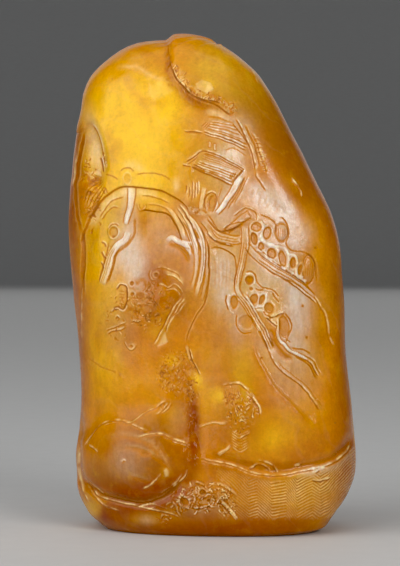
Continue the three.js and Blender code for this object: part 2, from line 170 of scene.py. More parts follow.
def through(knots, rows, s):
    """Cubic Hermite spans through the rows. A knot's slope is that of the parabola through it and its
    two neighbours."""
    step = np.diff(knots)[:, None]
    rise = np.diff(rows, axis=0) / step
    slope = (rise[:-1] * step[1:] + rise[1:] * step[:-1]) / (step[:-1] + step[1:])
    i = np.clip(np.searchsorted(knots, s, side="left") - 1, 1, len(knots) - 3)
    t = np.clip((s - knots[i]) / step[i, 0], 0, 1)[:, None]
    a, b = rows[i], rows[i + 1]
    lead = (t - 1) ** 2 * t * slope[i - 1] * step[i]
    trail = (t - 1) * t**2 * slope[i] * step[i]
    return a + (2 * t - 3) * t**2 * (a - b) + lead + trail


# %% [markdown]
# A grid wrapped round the stone
#
# Every point of the surface has two numbers: u runs round the stone and v runs up it. Each ring is
# an oval a little boxier than an ellipse. The columns stand closer at the front, where the carving
# is, and the first rows cover the flat sawn underside.

# %% Points of the uncut stone
GRID = 1024
SHOULDER = np.array([0.5, 0, 0.87]) / math.hypot(0.5, 0.87)


def uncut_stone(u, v):
    """x and z slide from the ring's left end to its right by sin(around),
    y = −radius·(cos + twist·sin),
    radius = (|sin / half|^n + |cos / reach|^n)^(−1/n) with n the squareness."""
    knots, rows = knots_and_rows()
    s = u - 0.5
    around = 2 * math.pi * (s * (1 - FRONT_SHARE) + 4 * FRONT_SHARE * s**3)[None, :]
    up = np.clip((v - FLAT_ROWS) / (1 - FLAT_ROWS), 0, 1)
    ring = through(knots, rows, knots[1] + up * (knots[-2] - knots[1]))
    left_up, right_up, left, right, front, back = (ring[:, k, None] for k in range(6))
    across, along = np.sin(around), np.cos(around)
    half = np.maximum(np.hypot(right - left, right_up - left_up) / 2, 1e-6)
    reach = np.maximum(np.where(along > 0, front, back), 1e-6)
    total = np.abs(across / half) ** SQUARENESS + np.abs(along / reach) ** SQUARENESS
    radius = np.minimum(1, v / FLAT_ROWS)[:, None] * total ** (-1 / SQUARENESS)
    way = 0.5 + radius * across / half / 2
    return np.stack([
        left + (right - left) * way,
        -radius * (along + TWIST * across),
        left_up + (right_up - left_up) * way,
    ], axis=-1)


def outward(points):
    """The cross product of the step round and the step up, at unit length; the two poles are given."""
    round_step = np.roll(points, -1, axis=1) - np.roll(points, 1, axis=1)
    up_step = np.zeros_like(points)
    up_step[1:-1] = points[2:] - points[:-2]
    normal = np.cross(round_step, up_step)
    normal /= np.maximum(np.linalg.norm(normal, axis=-1, keepdims=True), 1e-12)
    normal[points[..., 2] <= 1e-4] = (0, 0, -1)
    normal[-1] = SHOULDER
    return normal


plain = uncut_stone(np.arange(GRID) / GRID, np.arange(GRID + 1) / GRID)
plain_normal = outward(plain)
print("uncut stone in mm:", plain.reshape(-1, 3).min(0).round(1), plain.reshape(-1, 3).max(0).round(1))

# %% [markdown]
# The drawing pane
#
# Thin relief is a drawing first. The carver brushes it onto the stone and cuts it straight in, so
# here it is also a drawing: a fine sheet of cells, X to the right and Z up from the table, in
# millimetres. Each stroke raises or lowers its cells. A hand never cuts a ruled line, so the pane's
# own coordinates wander by a tenth of a millimetre, and `touch` says how strongly each cell takes
# the pale of rubbing and of painted highlights. Three works have their own sheets: the front, what
# is carried round the edge, and the back.

# %% Pane and hand
CELL = 0.08
LEFT, RIGHT, LOW, HIGH = -31.0, 31.0, -3.0, 103.0
pane_x = np.arange(LEFT, RIGHT, CELL)
pane_z = np.arange(LOW, HIGH, CELL)


def blank():
    """A sheet with nothing on it."""
    return np.zeros((len(pane_z), len(pane_x)), "f4")


def sheets():
    """Clean sheets for the height, for rubbed pale and painted highlight, and for dark wax and painted
    shade.
    """
    return {"height": blank(), "pale": blank(), "stain": blank()}


def noise(a, b, seed, wrap=256):
    """Random heights from −1 to 1 at whole numbers, joined by the easing curve 3t² − 2t³."""
    lattice = np.random.default_rng(seed).uniform(-1, 1, (wrap, wrap)).astype("f4")
    ia, ib = np.floor(a).astype(int), np.floor(b).astype(int)
    ta, tb = a - ia, b - ib
    ta, tb = ta * ta * (3 - 2 * ta), tb * tb * (3 - 2 * tb)
    ia, ja, ib, jb = ia % wrap, (ia + 1) % wrap, ib % wrap, (ib + 1) % wrap
    low = lattice[ia, ib] * (1 - ta) + lattice[ja, ib] * ta
    high = lattice[ia, jb] * (1 - ta) + lattice[ja, jb] * ta
    return low * (1 - tb) + high * tb


SWAY, SWAY_SIZE = 0.1, 1.6
TREMBLE, TREMBLE_SIZE = 0.03, 0.5

front, carried, back = sheets(), sheets(), sheets()
flat_x, flat_z = np.meshgrid(pane_x, pane_z)
sway_at = flat_x / SWAY_SIZE, flat_z / SWAY_SIZE
tremble_at = flat_x / TREMBLE_SIZE, flat_z / TREMBLE_SIZE
hand_x = flat_x + SWAY * noise(*sway_at, 11) + TREMBLE * noise(*tremble_at, 12)
hand_z = flat_z + SWAY * noise(*sway_at, 13) + TREMBLE * noise(*tremble_at, 14)
touch = np.clip(0.7 + 0.9 * noise(flat_x / 0.7, flat_z / 0.7, 16), 0.05, 1.25)
print("pane cells:", flat_x.shape)

# %% [markdown]
# The carver's strokes
#
# A sculpting brush would do this by hand. A stroke in code is a smooth curve through a few points
# and a rule for what happens beside it, and needs only two numbers for each cell: how far it lies
# from the curve, and how far along. On this stone the relief is so thin that its colour shows more
# than its height: cuts hold dark wax and proud edges are rubbed pale, and shade beside the edges and
# highlights on crests and flat tops are painted in as well. So each tool changes three sheets at
# once: the height, the pale (rubbing and painted highlight) and the stained (wax and painted shade).

# %% Curves and distances
SPAN_PIECES = 6


def ease(x, low=0.0, high=1.0):
    """0 below low, 1 above high, 3t² − 2t³ between."""
    t = np.clip((x - low) / (high - low), 0, 1)
    return t * t * (3 - 2 * t)


def curve(points):
    """Between p1 and p2 a cubic that leaves along (p2 − p0) / 2 and arrives along (p3 − p1) / 2."""
    p = np.array(points, float)
    p = np.vstack([2 * p[0] - p[1], p, 2 * p[-1] - p[-2]])
    t = (np.arange(SPAN_PIECES) / SPAN_PIECES)[None, :, None]
    p0, p1, p2, p3 = (p[k:len(p) - 3 + k, None, :] for k in range(4))
    bend, turn = 2 * p0 - 5 * p1 + 4 * p2 - p3, 3 * p1 - p0 - 3 * p2 + p3
    spans = p1 + t * ((p2 - p0) + t * (bend + t * turn)) / 2
    return np.vstack([spans.reshape(-1, 2), p[-2]])


def window(low, high):
    """The rows and columns of the pane between two corners."""
    c0, c1 = np.clip(((low[0] - LEFT) / CELL, (high[0] - LEFT) / CELL + 2), 0, len(pane_x)).astype(int)
    r0, r1 = np.clip(((low[1] - LOW) / CELL, (high[1] - LOW) / CELL + 2), 0, len(pane_z)).astype(int)
    return slice(r0, r1), slice(c0, c1)


def measure(points, reach):
    """For each cell near the curve: its distance, above 0 on the right as the curve runs, and its
    place along it from 0 to 1, both from the nearest point on the curve's short straight pieces."""
    path = curve(points)
    place = window(path.min(0) - reach, path.max(0) + reach)
    x, z = hand_x[place], hand_z[place]
    gap = np.full(x.shape, 1e3)
    way = np.zeros(x.shape)
    move = np.diff(path, axis=0)
    length = np.hypot(*move.T)
    start = np.concatenate([[0], np.cumsum(length)])
    for (ax, az), (dx, dz), long, begun in zip(path, move, length, start):
        r, c = window((min(ax, ax + dx) - reach, min(az, az + dz) - reach),
                      (max(ax, ax + dx) + reach, max(az, az + dz) + reach))
        part = (slice(r.start - place[0].start, r.stop - place[0].start),
                slice(c.start - place[1].start, c.stop - place[1].start))
        px, pz = x[part] - ax, z[part] - az
        t = np.clip((px * dx + pz * dz) / max(long * long, 1e-9), 0, 1)
        far = np.hypot(px - t * dx, pz - t * dz)
        near = far < np.abs(gap[part])
        side = np.where(dz * px - dx * pz > 0, 1, -1)
        gap[part] = np.where(near, side * far, gap[part])
        way[part] = np.where(near, (begun + t * long) / start[-1], way[part])
    return place, gap, way


def ends(way, share):
    """1 along the middle, easing to 0 over a share of the length at both ends."""
    return ease(way, 0, share) * ease(1 - way, 0, share) if share else 1.0


def bell(x):
    """exp(−x²): 1 at 0 and close to 0 past 2."""
    return np.exp(-x**2)


def mark(on, place, **changes):
    """Adds each change to the sheet of its name."""
    for name, change in changes.items():
        on[name][place] += change


def tell(what):
    """Prints how deep and how high the front has been carved so far."""
    low, high = front["height"].min(), front["height"].max()
    print(f"{what}: front relief from {low:.2f} to {high:.2f} mm")


tell("clean pane")

# %% [markdown]
# Tools for lines
#
# A ready-made brush would give every stroke the same section. These tools have the sections that
# real chisels leave: a soft channel, a step, a flat bar, a V and a thin proud line. Fine strokes
# are cut to FINE_SHARE of their number only, because wax, rubbing and painted shade and highlight
# tell more of them than depth.

# %% Tools that follow a curve
FINE_SHARE = 0.65
MOAT_OFF, MOAT_WIDE, MOAT_DEEP = 0.08, 0.15, 0.35
BURR_OFF, BURR_WIDE, BURR_HIGH = 1.6, 0.4, 0.3
CREST_WIDE = 0.34
SHADE_OFF, SHADE_WIDE, SHADE_DEEP = 0.75, 0.38, 0.8


def swath(points, amount, wide, share=0.12, into="height", on=front):
    """Soft ridge, channel or band of colour: amount · exp(−(gap / half width)²)."""
    place, gap, way = measure(points, 1.3 * wide)
    mark(on, place, **{into: amount * bell(gap / (wide / 2)) * ends(way, share)})


def drop(points, depth, edge, reach, share=0.12, on=front):
    """The right side of the curve falls by depth across the edge and comes back over the reach."""
    place, gap, way = measure(points, reach)
    fall = ease(gap, -edge / 2, edge / 2) * (1 - ease(gap, 0, reach))
    mark(on, place, height=-depth * fall * ends(way, share))


def bough(points, height, wide, pale=0.5, stain=0.45, share=0.08, on=front):
    """A flat bar, (1 − (gap / half width)²)^0.4, pale in streaks that run along it from rubbing and a
    painted highlight, with a narrow stained moat on both sides. The width may run from one value to
    another."""
    first, last = wide if isinstance(wide, tuple) else (wide, wide)
    place, gap, way = measure(points, max(first, last) / 2 + 0.8)
    half = (first + (last - first) * way) / 2
    off, hold = np.abs(gap) / half, ends(way, share)
    beside = bell((np.abs(gap) - half - MOAT_OFF) / MOAT_WIDE) * hold
    top = np.clip(1 - off**2, 0, 1) ** 0.4 * hold
    streak = noise(gap / 0.2 + 60, way * 5 + points[0][0], 15)
    rubbed_and_highlight = ease(1.08 - off, 0, 0.25) * (0.72 + 0.5 * streak) + 0.35 * bell((off - 0.8) / 0.16)
    mark(on, place, height=FINE_SHARE * height * (top - MOAT_DEEP * beside) + 0.03 * streak * top,
         stain=stain * beside, pale=pale * rubbed_and_highlight * hold - 0.6 * beside)


def cut(points, depth, wide=0.4, stain=0.5, share=0.15, on=front):
    """A V cut, depth · (1 − |gap| / half width), full of dark wax, with a low burr beside it that is
    pale from rubbing and a painted highlight.
    """
    place, gap, way = measure(points, wide * 1.8)
    off, hold = np.abs(gap) / (wide / 2), ends(way, share)
    burr = bell((off - BURR_OFF) / BURR_WIDE) * hold
    groove = ease(1.3 - off, 0, 0.7) * hold
    mark(on, place, height=FINE_SHARE * depth * (BURR_HIGH * burr - np.clip(1 - off, 0, 1) * hold),
         stain=stain * groove, pale=0.4 * stain * burr - min(1, 2 * stain) * groove)


def line(points, height, wide=0.3, pale=0.6, share=0.15, dark=1.4, on=front):
    """A thin proud line, height · exp(−(gap / (CREST_WIDE · width))²), pale from rubbing and a painted
    highlight, and a shallow cut on its right darkened with painted shade, dark times the pale."""
    place, gap, way = measure(points, wide * 2.2)
    hold = ends(way, share)
    crest = bell(gap / (CREST_WIDE * wide)) * hold
    shade = bell((gap - wide * SHADE_OFF) / (wide * SHADE_WIDE)) * hold
    mark(on, place, height=FINE_SHARE * height * (crest - SHADE_DEEP * shade), stain=dark * pale * shade,
         pale=1.7 * pale * crest * touch[place] - 0.6 * shade)


def net(points, wide, pale=0.95, height=0.14, on=front):
    """A flat white band with crisp edges: what is left standing between leaf cells."""
    place, gap, way = measure(points, wide / 2 + 0.3)
    flat = ease(wide / 2 + 0.03 - np.abs(gap), 0, 0.14)
    mark(on, place, height=height * flat, pale=pale * flat * np.minimum(touch[place] + 0.2, 1))


print("a straight stroke of 1 mm becomes", len(curve([(0, 0), (1, 0)])) - 1, "pieces")

# %% [markdown]
# Tools for places
#
# Leaf cells, pebbles and facets aren't strokes but places, each with an edge all round. Most are
# ovals, which need only a centre, two half sizes and a turn, and slabs are the inside of a few
# straight sides.

# %% Tools that fill a place
RIM_OFF, RIM_WIDE = 0.24, 0.16
WALL_OFF, WALL_WIDE = 0.06, 0.14
PEBBLE_MOAT_OFF, PEBBLE_MOAT_WIDE = 1.12, 0.14


def oval(centre, radii, turn=0, reach=1.6):
    """r = length of the turned offset over the two half sizes: 1 on the oval's edge."""
    far = max(radii) * reach
    place = window(np.subtract(centre, far), np.add(centre, far))
    x, z = hand_x[place] - centre[0], hand_z[place] - centre[1]
    sin, cos = math.sin(math.radians(turn)), math.cos(math.radians(turn))
    a, b = x * cos + z * sin, z * cos - x * sin
    return place, np.hypot(a / radii[0], b / radii[1]), a, b


def inside(corners):
    """The distance to the nearest of the clockwise sides, above 0 inside."""
    p = np.array(corners, float)
    place = window(p.min(0) - 1, p.max(0) + 1)
    x, z = hand_x[place], hand_z[place]
    depth = np.full(x.shape, 1e3)
    for (ax, az), (bx, bz) in zip(p, np.roll(p, -1, axis=0)):
        dx, dz = bx - ax, bz - az
        depth = np.minimum(depth, (dz * (x - ax) - dx * (z - az)) / math.hypot(dx, dz))
    return place, depth


def swell(height, centre, radii, turn=0, on=front):
    """A broad rise or hollow, height · (1 − r²)²."""
    place, r, _, _ = oval(centre, radii, turn, 1.1)
    mark(on, place, height=height * np.clip(1 - r * r, 0, 1) ** 2)


def pit(centre, radii, turn=0, depth=0.25, rim=0.08, stain=0.7, pale=0.5, on=front):
    """A leaf cell: a stained floor with a steep wall, darkest along the wall, and a pale proud rim.
    out = (r − 1) · mean half size, the distance from the cell's edge in mm."""
    place, r, _, _ = oval(centre, radii, turn, 1 + 0.8 / min(radii))
    out = (r - 1) * math.sqrt(radii[0] * radii[1])
    ring = bell((out - RIM_OFF) / RIM_WIDE)
    floor = ease(0.08 - out, 0, 0.26)
    wall = bell((out + WALL_OFF) / WALL_WIDE)
    mark(on, place, height=rim * ring - FINE_SHARE * depth * floor,
         stain=stain * (0.5 * floor + 0.7 * wall), pale=pale * ring * touch[place] - 1.5 * floor)


def dome(centre, radii, turn=0, height=0.3, stain=0.5, on=front):
    """A pebble, height · (1 − r²)^0.7, with a stained moat round it."""
    place, r, _, _ = oval(centre, radii, turn, 1.8)
    moat = bell((r - PEBBLE_MOAT_OFF) / PEBBLE_MOAT_WIDE)
    mark(on, place, height=height * (np.clip(1 - r * r, 0, 1) ** 0.7 - 0.5 * moat), stain=stain * moat)


def plate(corners, height, edge=0.3, pale=0.0, stain=0.0, on=front):
    """A slab or facet: its height and colours eased in over the edge."""
    place, depth = inside(corners)
    flat = ease(depth, 0, edge)
    mark(on, place, height=height * flat, pale=pale * flat, stain=stain * flat)


print("cells in an oval of 4 by 2 mm:", int((oval((0, 50), (2, 1))[1] < 1).sum()))

# %% [markdown]
# Tools for rough skin
#
# Chips, blotches and tiny strokes come in hundreds. Drawing them one by one would take days, so
# random numbers place them. Each patch has its own seed, and so it comes out the same every time.

# %% Tools for broken and worked skin
def chips(centre, radii, turn, size, depth, seed, pale=0.35, stain=0.4, on=front):
    """Broken stone: each cell takes the tilted plane and tone of its nearest random point."""
    place, r, a, b = oval(centre, radii, turn, 1.05)
    rng = np.random.default_rng(seed)
    count = max(6, int(4 * radii[0] * radii[1] / size**2))
    ca = rng.uniform(-radii[0], radii[0], count)
    cb = rng.uniform(-radii[1], radii[1], count)
    tilt_a, tilt_b = rng.normal(0, 0.55, (2, count))
    level = rng.uniform(-1, 0.25, count)
    tone = rng.uniform(-1, 1, count)
    nearest = np.argmin((a[..., None] - ca) ** 2 + (b[..., None] - cb) ** 2, axis=-1)
    tilt = tilt_a[nearest] * (a - ca[nearest]) + tilt_b[nearest] * (b - cb[nearest])
    inner = ease(1 - r, 0, 0.35)
    mark(on, place, height=(depth * level[nearest] + 1.2 * tilt * depth / size) * inner,
         pale=pale * ease(tone[nearest], 0, 0.8) * inner,
         stain=stain * ease(-tone[nearest], 0, 0.8) * inner)


def mottle(centre, radii, turn, size, depth, stain, seed, on=front):
    """Blotchy skin: noise of the given size for the height and, further on, for the stain."""
    place, r, a, b = oval(centre, radii, turn, 1.05)
    inner = ease(1 - r, 0, 0.5)
    mark(on, place, height=depth * noise(a / size + 90, b / size + 90, seed) * inner,
         stain=stain * ease(noise(a / size + 40, b / size + 40, seed + 1), -0.2, 0.6) * inner)


def flecks(centre, radii, turn, count, long, seed, pale=0.4, dark=0.5, on=front):
    """Short bent strokes at random places in an oval. A share of them are dark cuts, the others pale
    lines. Place = centre + radii · √random, turned; bend = up to a third of the length, to each side."""
    rng = np.random.default_rng(seed)
    sin, cos = math.sin(math.radians(turn)), math.cos(math.radians(turn))
    for _ in range(count):
        angle, far = rng.uniform(0, 2 * math.pi), math.sqrt(rng.uniform(0, 1))
        a, b = radii[0] * far * math.cos(angle), radii[1] * far * math.sin(angle)
        x, z = centre[0] + a * cos - b * sin, centre[1] + a * sin + b * cos
        way, bend = rng.uniform(0, math.pi), rng.uniform(-0.7, 0.7)
        half = long * rng.uniform(0.3, 0.7)
        dx, dz = half * math.cos(way), half * math.sin(way)
        stroke = [(x - dx, z - dz), (x - bend * dz, z + bend * dx), (x + dx, z + dz)]
        if rng.uniform() < dark:
            cut(stroke, 0.1, 0.3, 0.4, 0.35, on=on)
        else:
            line(stroke, 0.12, 0.24, pale, 0.3, on=on)


def fan(first, last, count):
    """Curves spaced evenly between two curves with the same number of points."""
    first, last = np.array(first, float), np.array(last, float)
    return [first + (last - first) * t for t in np.linspace(0, 1, count)]


def shifted(points, across, up):
    """The same curve moved sideways and up."""
    return [(x + across, z + up) for x, z in points]


print("a fan of 3:", [float(points[0][0]) for points in fan([(0, 0), (0, 1)], [(1, 0), (1, 1)], 3)])

# %% [markdown]
# The broad forms
#
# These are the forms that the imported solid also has: the cleft of the crown, the recessed face, the
# two halves of the body with a valley between them, the mound and the foot. They are cut with the
# soft tools, and each drop falls on the right of its curve. What runs round the edge goes on the
# sheets `carried`, and all else on the sheets `front`.

# %% Cleft, face, valley, mound
CLEFT = [(-8.2, 102), (-8, 94), (-7.3, 90.5), (-5.2, 87.4), (-2.6, 85.2), (0.6, 84.9), (3.6, 83.6),
         (6, 81.2)]
FLANK = [(-25.8, 83.2), (-23.8, 81.4), (-22.6, 78.6), (-21.6, 75.4), (-21.2, 72), (-22.6, 67)]
FACE_EDGE = [(5.2, 81.6), (7.4, 77.4), (9.2, 72.6), (11, 69.4), (13.6, 65.6),
             (16.2, 62.2), (18.8, 58), (20.8, 53.4), (21.8, 47.6), (23.4, 42)]
FACE_FOOT = [(20.8, 53.4), (22, 47.6), (23.6, 43.4), (24.2, 38.6), (23.6, 32), (21.6, 26), (18.6, 20)]
VALLEY = [(-4.6, 41), (-4.2, 36), (-4, 30), (-3.8, 25), (-3.2, 19.6), (-2, 15.4), (-1.4, 11)]
MOUND_TOP = [(-8.8, 25.4), (-9.6, 25.2), (-10.8, 24.4), (-12.9, 23.2), (-15.5, 21.3), (-17.5, 21.6),
             (-19.3, 21.6), (-21.3, 21), (-23.1, 19.4), (-25.2, 16)]
MOUND_FOLD = [(-3.8, 16.3), (-5.9, 17.4), (-7.6, 18), (-9.4, 18.9), (-11.7, 18.9), (-14, 18.3)]

swath(CLEFT, -0.12, 2.2, 0.08, on=carried)
drop(CLEFT, 1.0, 2.2, 9, 0.1, on=carried)
drop([(-23, 89.6), (-19.5, 92.6), (-15.5, 92.1), (-10.5, 89.6), (-7, 88.1)], 0.3, 1.0, 7, 0.25)
drop(FLANK, 1.2, 2.6, 8, 0.14, on=carried)
drop(FACE_EDGE[:6], 0.2, 3, 8, 0.3)
drop(FACE_EDGE, 0.7, 6, 13, 0.2)
drop(FACE_FOOT, 0.9, 3.8, 11, 0.35)
swath(VALLEY, -0.8, 10, 0.35)
swath(VALLEY[2:], -0.3, 1.6, 0.35)
drop(MOUND_TOP, 0.5, 0.7, 6, 0.2)
drop(MOUND_FOLD, 0.45, 0.6, 5, 0.25)
for height, centre, radii in [
    (1.9, (-14.8, 13.6), (14, 12)),
    (0.5, (13, 22), (17, 20)),
    (-0.9, (-10.5, 58), (9, 13)),
    (-0.3, (-15, 80), (13, 12)),
    (0.7, (-15, 47), (9, 13)),
]:
    swell(height, centre, radii)
tell("broad forms")

# %% [markdown]
# The crown
#
# The right lobe stands over the left along a cleft whose edge has crumbled. Chips like these
# are small flat breaks at odd angles, so the chipping tool gives each random spot a plane of its own.

# %% Crown
CLEFT_BED = [(-8.6, 98.4), (-8.5, 97), (-8.2, 94), (-7.8, 92), (-6.8, 90), (-4.8, 87.6), (-2.4, 85.9),
             (0.6, 85), (2.8, 83.8), (4.8, 82.4)]
cut(CLEFT_BED[:5], 0.08, 0.36, 0.3, 0.2, on=carried)
cut(CLEFT_BED[3:], 0.16, 0.34, 0.6, 0.1, on=carried)
# A band of painted shade along the cleft bed.
swath(shifted(CLEFT_BED, -0.2, -0.2), 0.25, 1.6, 0.1, "stain", on=carried)
mottle((-3.6, 86.6), (5.2, 1.3), -32, 0.5, 0.08, 0.5, 25, on=carried)
mottle((-8.3, 92), (1.1, 5), 4, 0.5, 0.08, 0.4, 27, on=carried)
chips((-6.0, 90.4), (0.9, 3.4), 26, 0.7, 0.12, 21, 0.25)
chips((-3.4, 87.6), (1.6, 1.1), -20, 0.7, 0.14, 24, 0.3)
chips((0.6, 86), (3.4, 0.8), -16, 0.6, 0.12, 22, 0.3)
chips((4, 84), (1.8, 1.1), -40, 0.6, 0.14, 23, 0.3)
flecks((-5.4, 89.6), (1.0, 3.6), 28, 18, 0.8, 26)
flecks((1, 85.7), (4.6, 0.8), -20, 30, 0.8, 28)
plate([(-1.8, 89.8), (0.2, 89.1), (0.9, 87.9), (-0.5, 86.7), (-2.4, 87.4), (-3, 88.8)], 0.12, 0.25, 0.32)
plate([(-0.6, 88.9), (0.9, 87.9), (-0.5, 86.7), (-1.4, 87)], 0.04, 0.25, 0.2)
plate([(-12.5, 89.4), (-9.8, 90.1), (-7, 87.8), (-8.3, 86.4), (-11, 85.1), (-13, 86.6)], 0.1, 0.7, 0.14)
for vein in [[(-17.2, 88.2), (-14.5, 86.5), (-11.5, 85.2), (-9.4, 85.3), (-7.6, 86.8)],
             [(-14.5, 86.5), (-12.6, 83.2), (-10.6, 81.4)]]:
    swath(vein, 0.16, 1.7, 0.25, "stain")
swath([(-19.5, 92), (-15, 92.4), (-12, 90.8), (-9.5, 89.9), (-7.4, 88.9)], 0.3, 0.7, 0.25, "pale")
line([(-6.5, 89.9), (-5.2, 88.6), (-4.0, 87.2)], 0.16, 0.36)
line([(-7.5, 92.4), (-7, 90.8), (-6.4, 89.8)], 0.12, 0.3, 0.4)
line([(-3.2, 86.7), (-1.6, 86), (0.4, 85.7), (2.2, 85.2)], 0.1, 0.3, 0.4)
swath([(-1.4, 83.5), (0.8, 83.3), (2.8, 82.6), (4.6, 81.5)], 0.55, 1.5, 0.3, "pale")
swell(0.25, (1.8, 82.8), (3.4, 1.2), -16)
cut([(-0.8, 82.5), (1.4, 82.3), (3.4, 81.7), (4.8, 80.8)], 0.06, 0.4, 0.3)
# A thin painted highlight along the rim of the right lobe.
line([(7.4, 92.8), (8.7, 90.8), (9.8, 88.4)], 0.06, 0.36, 0.25, 0.3, on=carried)
tell("crown")

# %% [markdown]
# Two hall roofs
#
# Each roof is a thin slab with proud eaves and fine tile lines. The tile lines run evenly from the
# ridge to the eave, so they are not drawn one by one: a fan of curves is spaced between the
# topmost and the lowest one.

# %% The upper roof
UPPER_EAVE = [(-1.3, 79.6), (1, 78.9), (3.6, 78), (5.6, 77.2), (7.4, 76.4)]
plate([(-0.6, 81.7), (4.6, 81.5), (7.6, 76.9), (3.6, 78), (-1.4, 79.6)], 0.16, 0.4)
for tile in fan([(-0.7, 80.3), (2.4, 79.4), (6.4, 77.9)], [(0.2, 81.7), (2.8, 81.2), (5.2, 80.4)], 4):
    line(tile, 0.14, 0.28, 0.6, 0.08, 0.8)
for rafter in fan([(-1.9, 80.4), (-0.7, 81.5)], [(-1.1, 79.9), (0.1, 81.1)], 3):
    cut(rafter, 0.09, 0.26, 0.45)
line(UPPER_EAVE, 0.16, 0.32, 0.8, 0.06)
line(shifted(UPPER_EAVE, 0, -0.55), 0.14, 0.28, 0.7, 0.08)
line(shifted(UPPER_EAVE[1:], 0.2, 0.5), 0.1, 0.26, 0.5, 0.1)
line([(-5.4, 79.6), (-3.6, 79.6), (-1.4, 79.3)], 0.12, 0.28, 0.7)
cut([(-5, 79.2), (-3, 79.1), (-1, 78.8)], 0.08, 0.28, 0.4)
for step in range(7):
    cut([(4.4 + 0.42 * step, 81 - 0.5 * step), (5.0 + 0.42 * step, 79.9 - 0.5 * step)], 0.1, 0.26)
for x, z in [(-0.2, 76.7), (0.8, 76.2)]:
    bough([(x, z - 0.4), (x + 0.05, z + 0.4)], 0.14, 0.34, 0.9, 0.3, 0)
swath([(2.6, 74.9), (4.2, 75.3), (5.8, 74.9), (7.2, 74.1)], 0.5, 1.6, 0.2, "pale")
cut([(2.4, 75.5), (4.2, 76), (6, 75.5), (7.6, 74.2)], 0.05, 0.3, 0.35, 0.2)
tell("upper roof")

# %% The lower roof
RIDGE = [(-5.1, 73.2), (-3.6, 74.2), (-2.2, 75.3), (-1.2, 75.6), (-0.2, 75.4), (2, 74.6), (4.4, 73.4),
         (7, 72.1)]
LOWER_EAVE = [(-3.8, 72.4), (-2, 71.6), (0, 70.8), (2.4, 69.8), (4.6, 68.8)]
plate([(-2.2, 75.4), (-0.2, 75.5), (7, 72.1), (4.6, 68.7), (0, 70.7), (-3.9, 72.3)], 0.18)
for tile in fan([(-2.4, 73.4), (1.2, 72.3), (5.4, 70.9)], [(-3.4, 72.4), (0.2, 71.1), (4.2, 69.5)], 4):
    line(tile, 0.16, 0.3, 0.9, 0.06, 0.55)
for tile in fan([(-1.6, 74.8), (2.4, 73.4), (6, 71.9)], [(-2, 74), (2, 72.7), (5.8, 71.3)], 3):
    cut(tile, 0.06, 0.24, 0.3, 0.1)
line(RIDGE, 0.16, 0.32, 0.75, 0.05)
line(shifted(RIDGE[3:], -0.1, -0.5), 0.12, 0.26, 0.55, 0.06)
line([(-4.9, 72.8), (-3.6, 73.5), (-2.5, 74.6)], 0.12, 0.26, 0.5)
line([(-5.6, 72.8), (-4.6, 72.6), (-3.8, 72.4)], 0.12)
line(LOWER_EAVE, 0.17, 0.32, 0.75, 0.05)
line(shifted(LOWER_EAVE, 0.3, 0.5), 0.12, 0.28, 0.55, 0.06)
line([(7, 72), (6.1, 70.6), (4.7, 69.1)], 0.12, 0.3, 0.6, 0.06)
cut([(6.4, 71.9), (5.5, 70.6), (4.3, 69.4)], 0.1, 0.28, 0.5, 0.06)
for across in (0.0, 0.5, 1.0):
    cut([(5.2 - across, 71.3 - across / 3), (4.6 - across, 70.1 - across / 3)], 0.08, 0.24, 0.4)
tell("lower roof")

# %% [markdown]
# The wall under the roofs
#
# Upright boards, a round doorway and a post that leans against the rock. The boards are upright
# lines of uneven length, drawn in a loop.

# %% Wall, doorway and beam
drop(shifted(LOWER_EAVE, 0, -0.4), 0.2, 0.3, 3.2, 0.1)
for x, top, bottom in [(-4.7, 68.6, 66.8), (-4.0, 68.4, 66.0), (-3.4, 69.8, 65.0), (-2.8, 69.4, 65.6),
                       (-2.3, 69.6, 66.6)]:
    line([(x, top), (x + 0.05, (top + bottom) / 2), (x - 0.05, bottom)], 0.12, 0.25, 0.75, 0.2)
swath([(-5, 68), (-3.6, 67.6), (-2, 67.2)], 0.3, 3.4, 0.2, "pale")
bough([(-1.2, 68.2), (-1.6, 66.4), (-1.9, 64.4), (-1.8, 63.4)], 0.16, (0.9, 0.6), 0.8, 0.3, 0.15)
swath([(-6.9, 70), (-6.8, 68.6), (-6.6, 67)], 0.6, 1.0, 0.3, "pale")
DOOR = [(-1.3, 63.4), (-1.5, 65.2), (-1, 66.6), (0.2, 67.4), (1.2, 66.8), (1.5, 65.4), (1.1, 64),
        (0.4, 62.9)]
line(DOOR, 0.16, 0.34, 0.6, 0.06)
pit((0.1, 65), (0.85, 1.7), -12, 0.14, 0.04, 0.2, 0.3)
swath([(0.2, 66.4), (0, 65.2), (-0.2, 64)], 0.7, 1.0, 0.2, "pale")
cut([(0.4, 66.6), (-0.3, 65.2), (-0.3, 63.8)], 0.12, 0.3, 0.6)
cut([(0.9, 66.2), (0.9, 65), (0.5, 63.8)], 0.08, 0.26, 0.4)
bough([(6.3, 70.6), (5.2, 68.7), (3.8, 66.3), (2.5, 64.4), (1.2, 62.9)], 0.3, (1.25, 0.8), 1.0, 0.6, 0.05)
chips((3.8, 66.2), (3.6, 0.7), 58, 0.5, 0.08, 32, 0.2, 0.3)
cut([(7.3, 71), (5.7, 67.6), (4.2, 65), (3, 63.4)], 0.14, 0.34, 0.55)
line([(7.9, 70.6), (6.3, 67.4), (4.8, 64.6)], 0.1, 0.3, 0.5)
cut([(2.4, 68.6), (1.6, 66), (1.8, 64)], 0.08, 0.4, 0.3, 0.2)
chips((-2.6, 63.4), (2.6, 0.9), -16, 0.45, 0.14, 31)
tell("wall, doorway and beam")

# %% [markdown]
# The edge of the rind
#
# Right of the roofs the smooth outer skin of the boulder stands like a wall, with a double lip and
# a strip of crumbs where skin and carving meet.

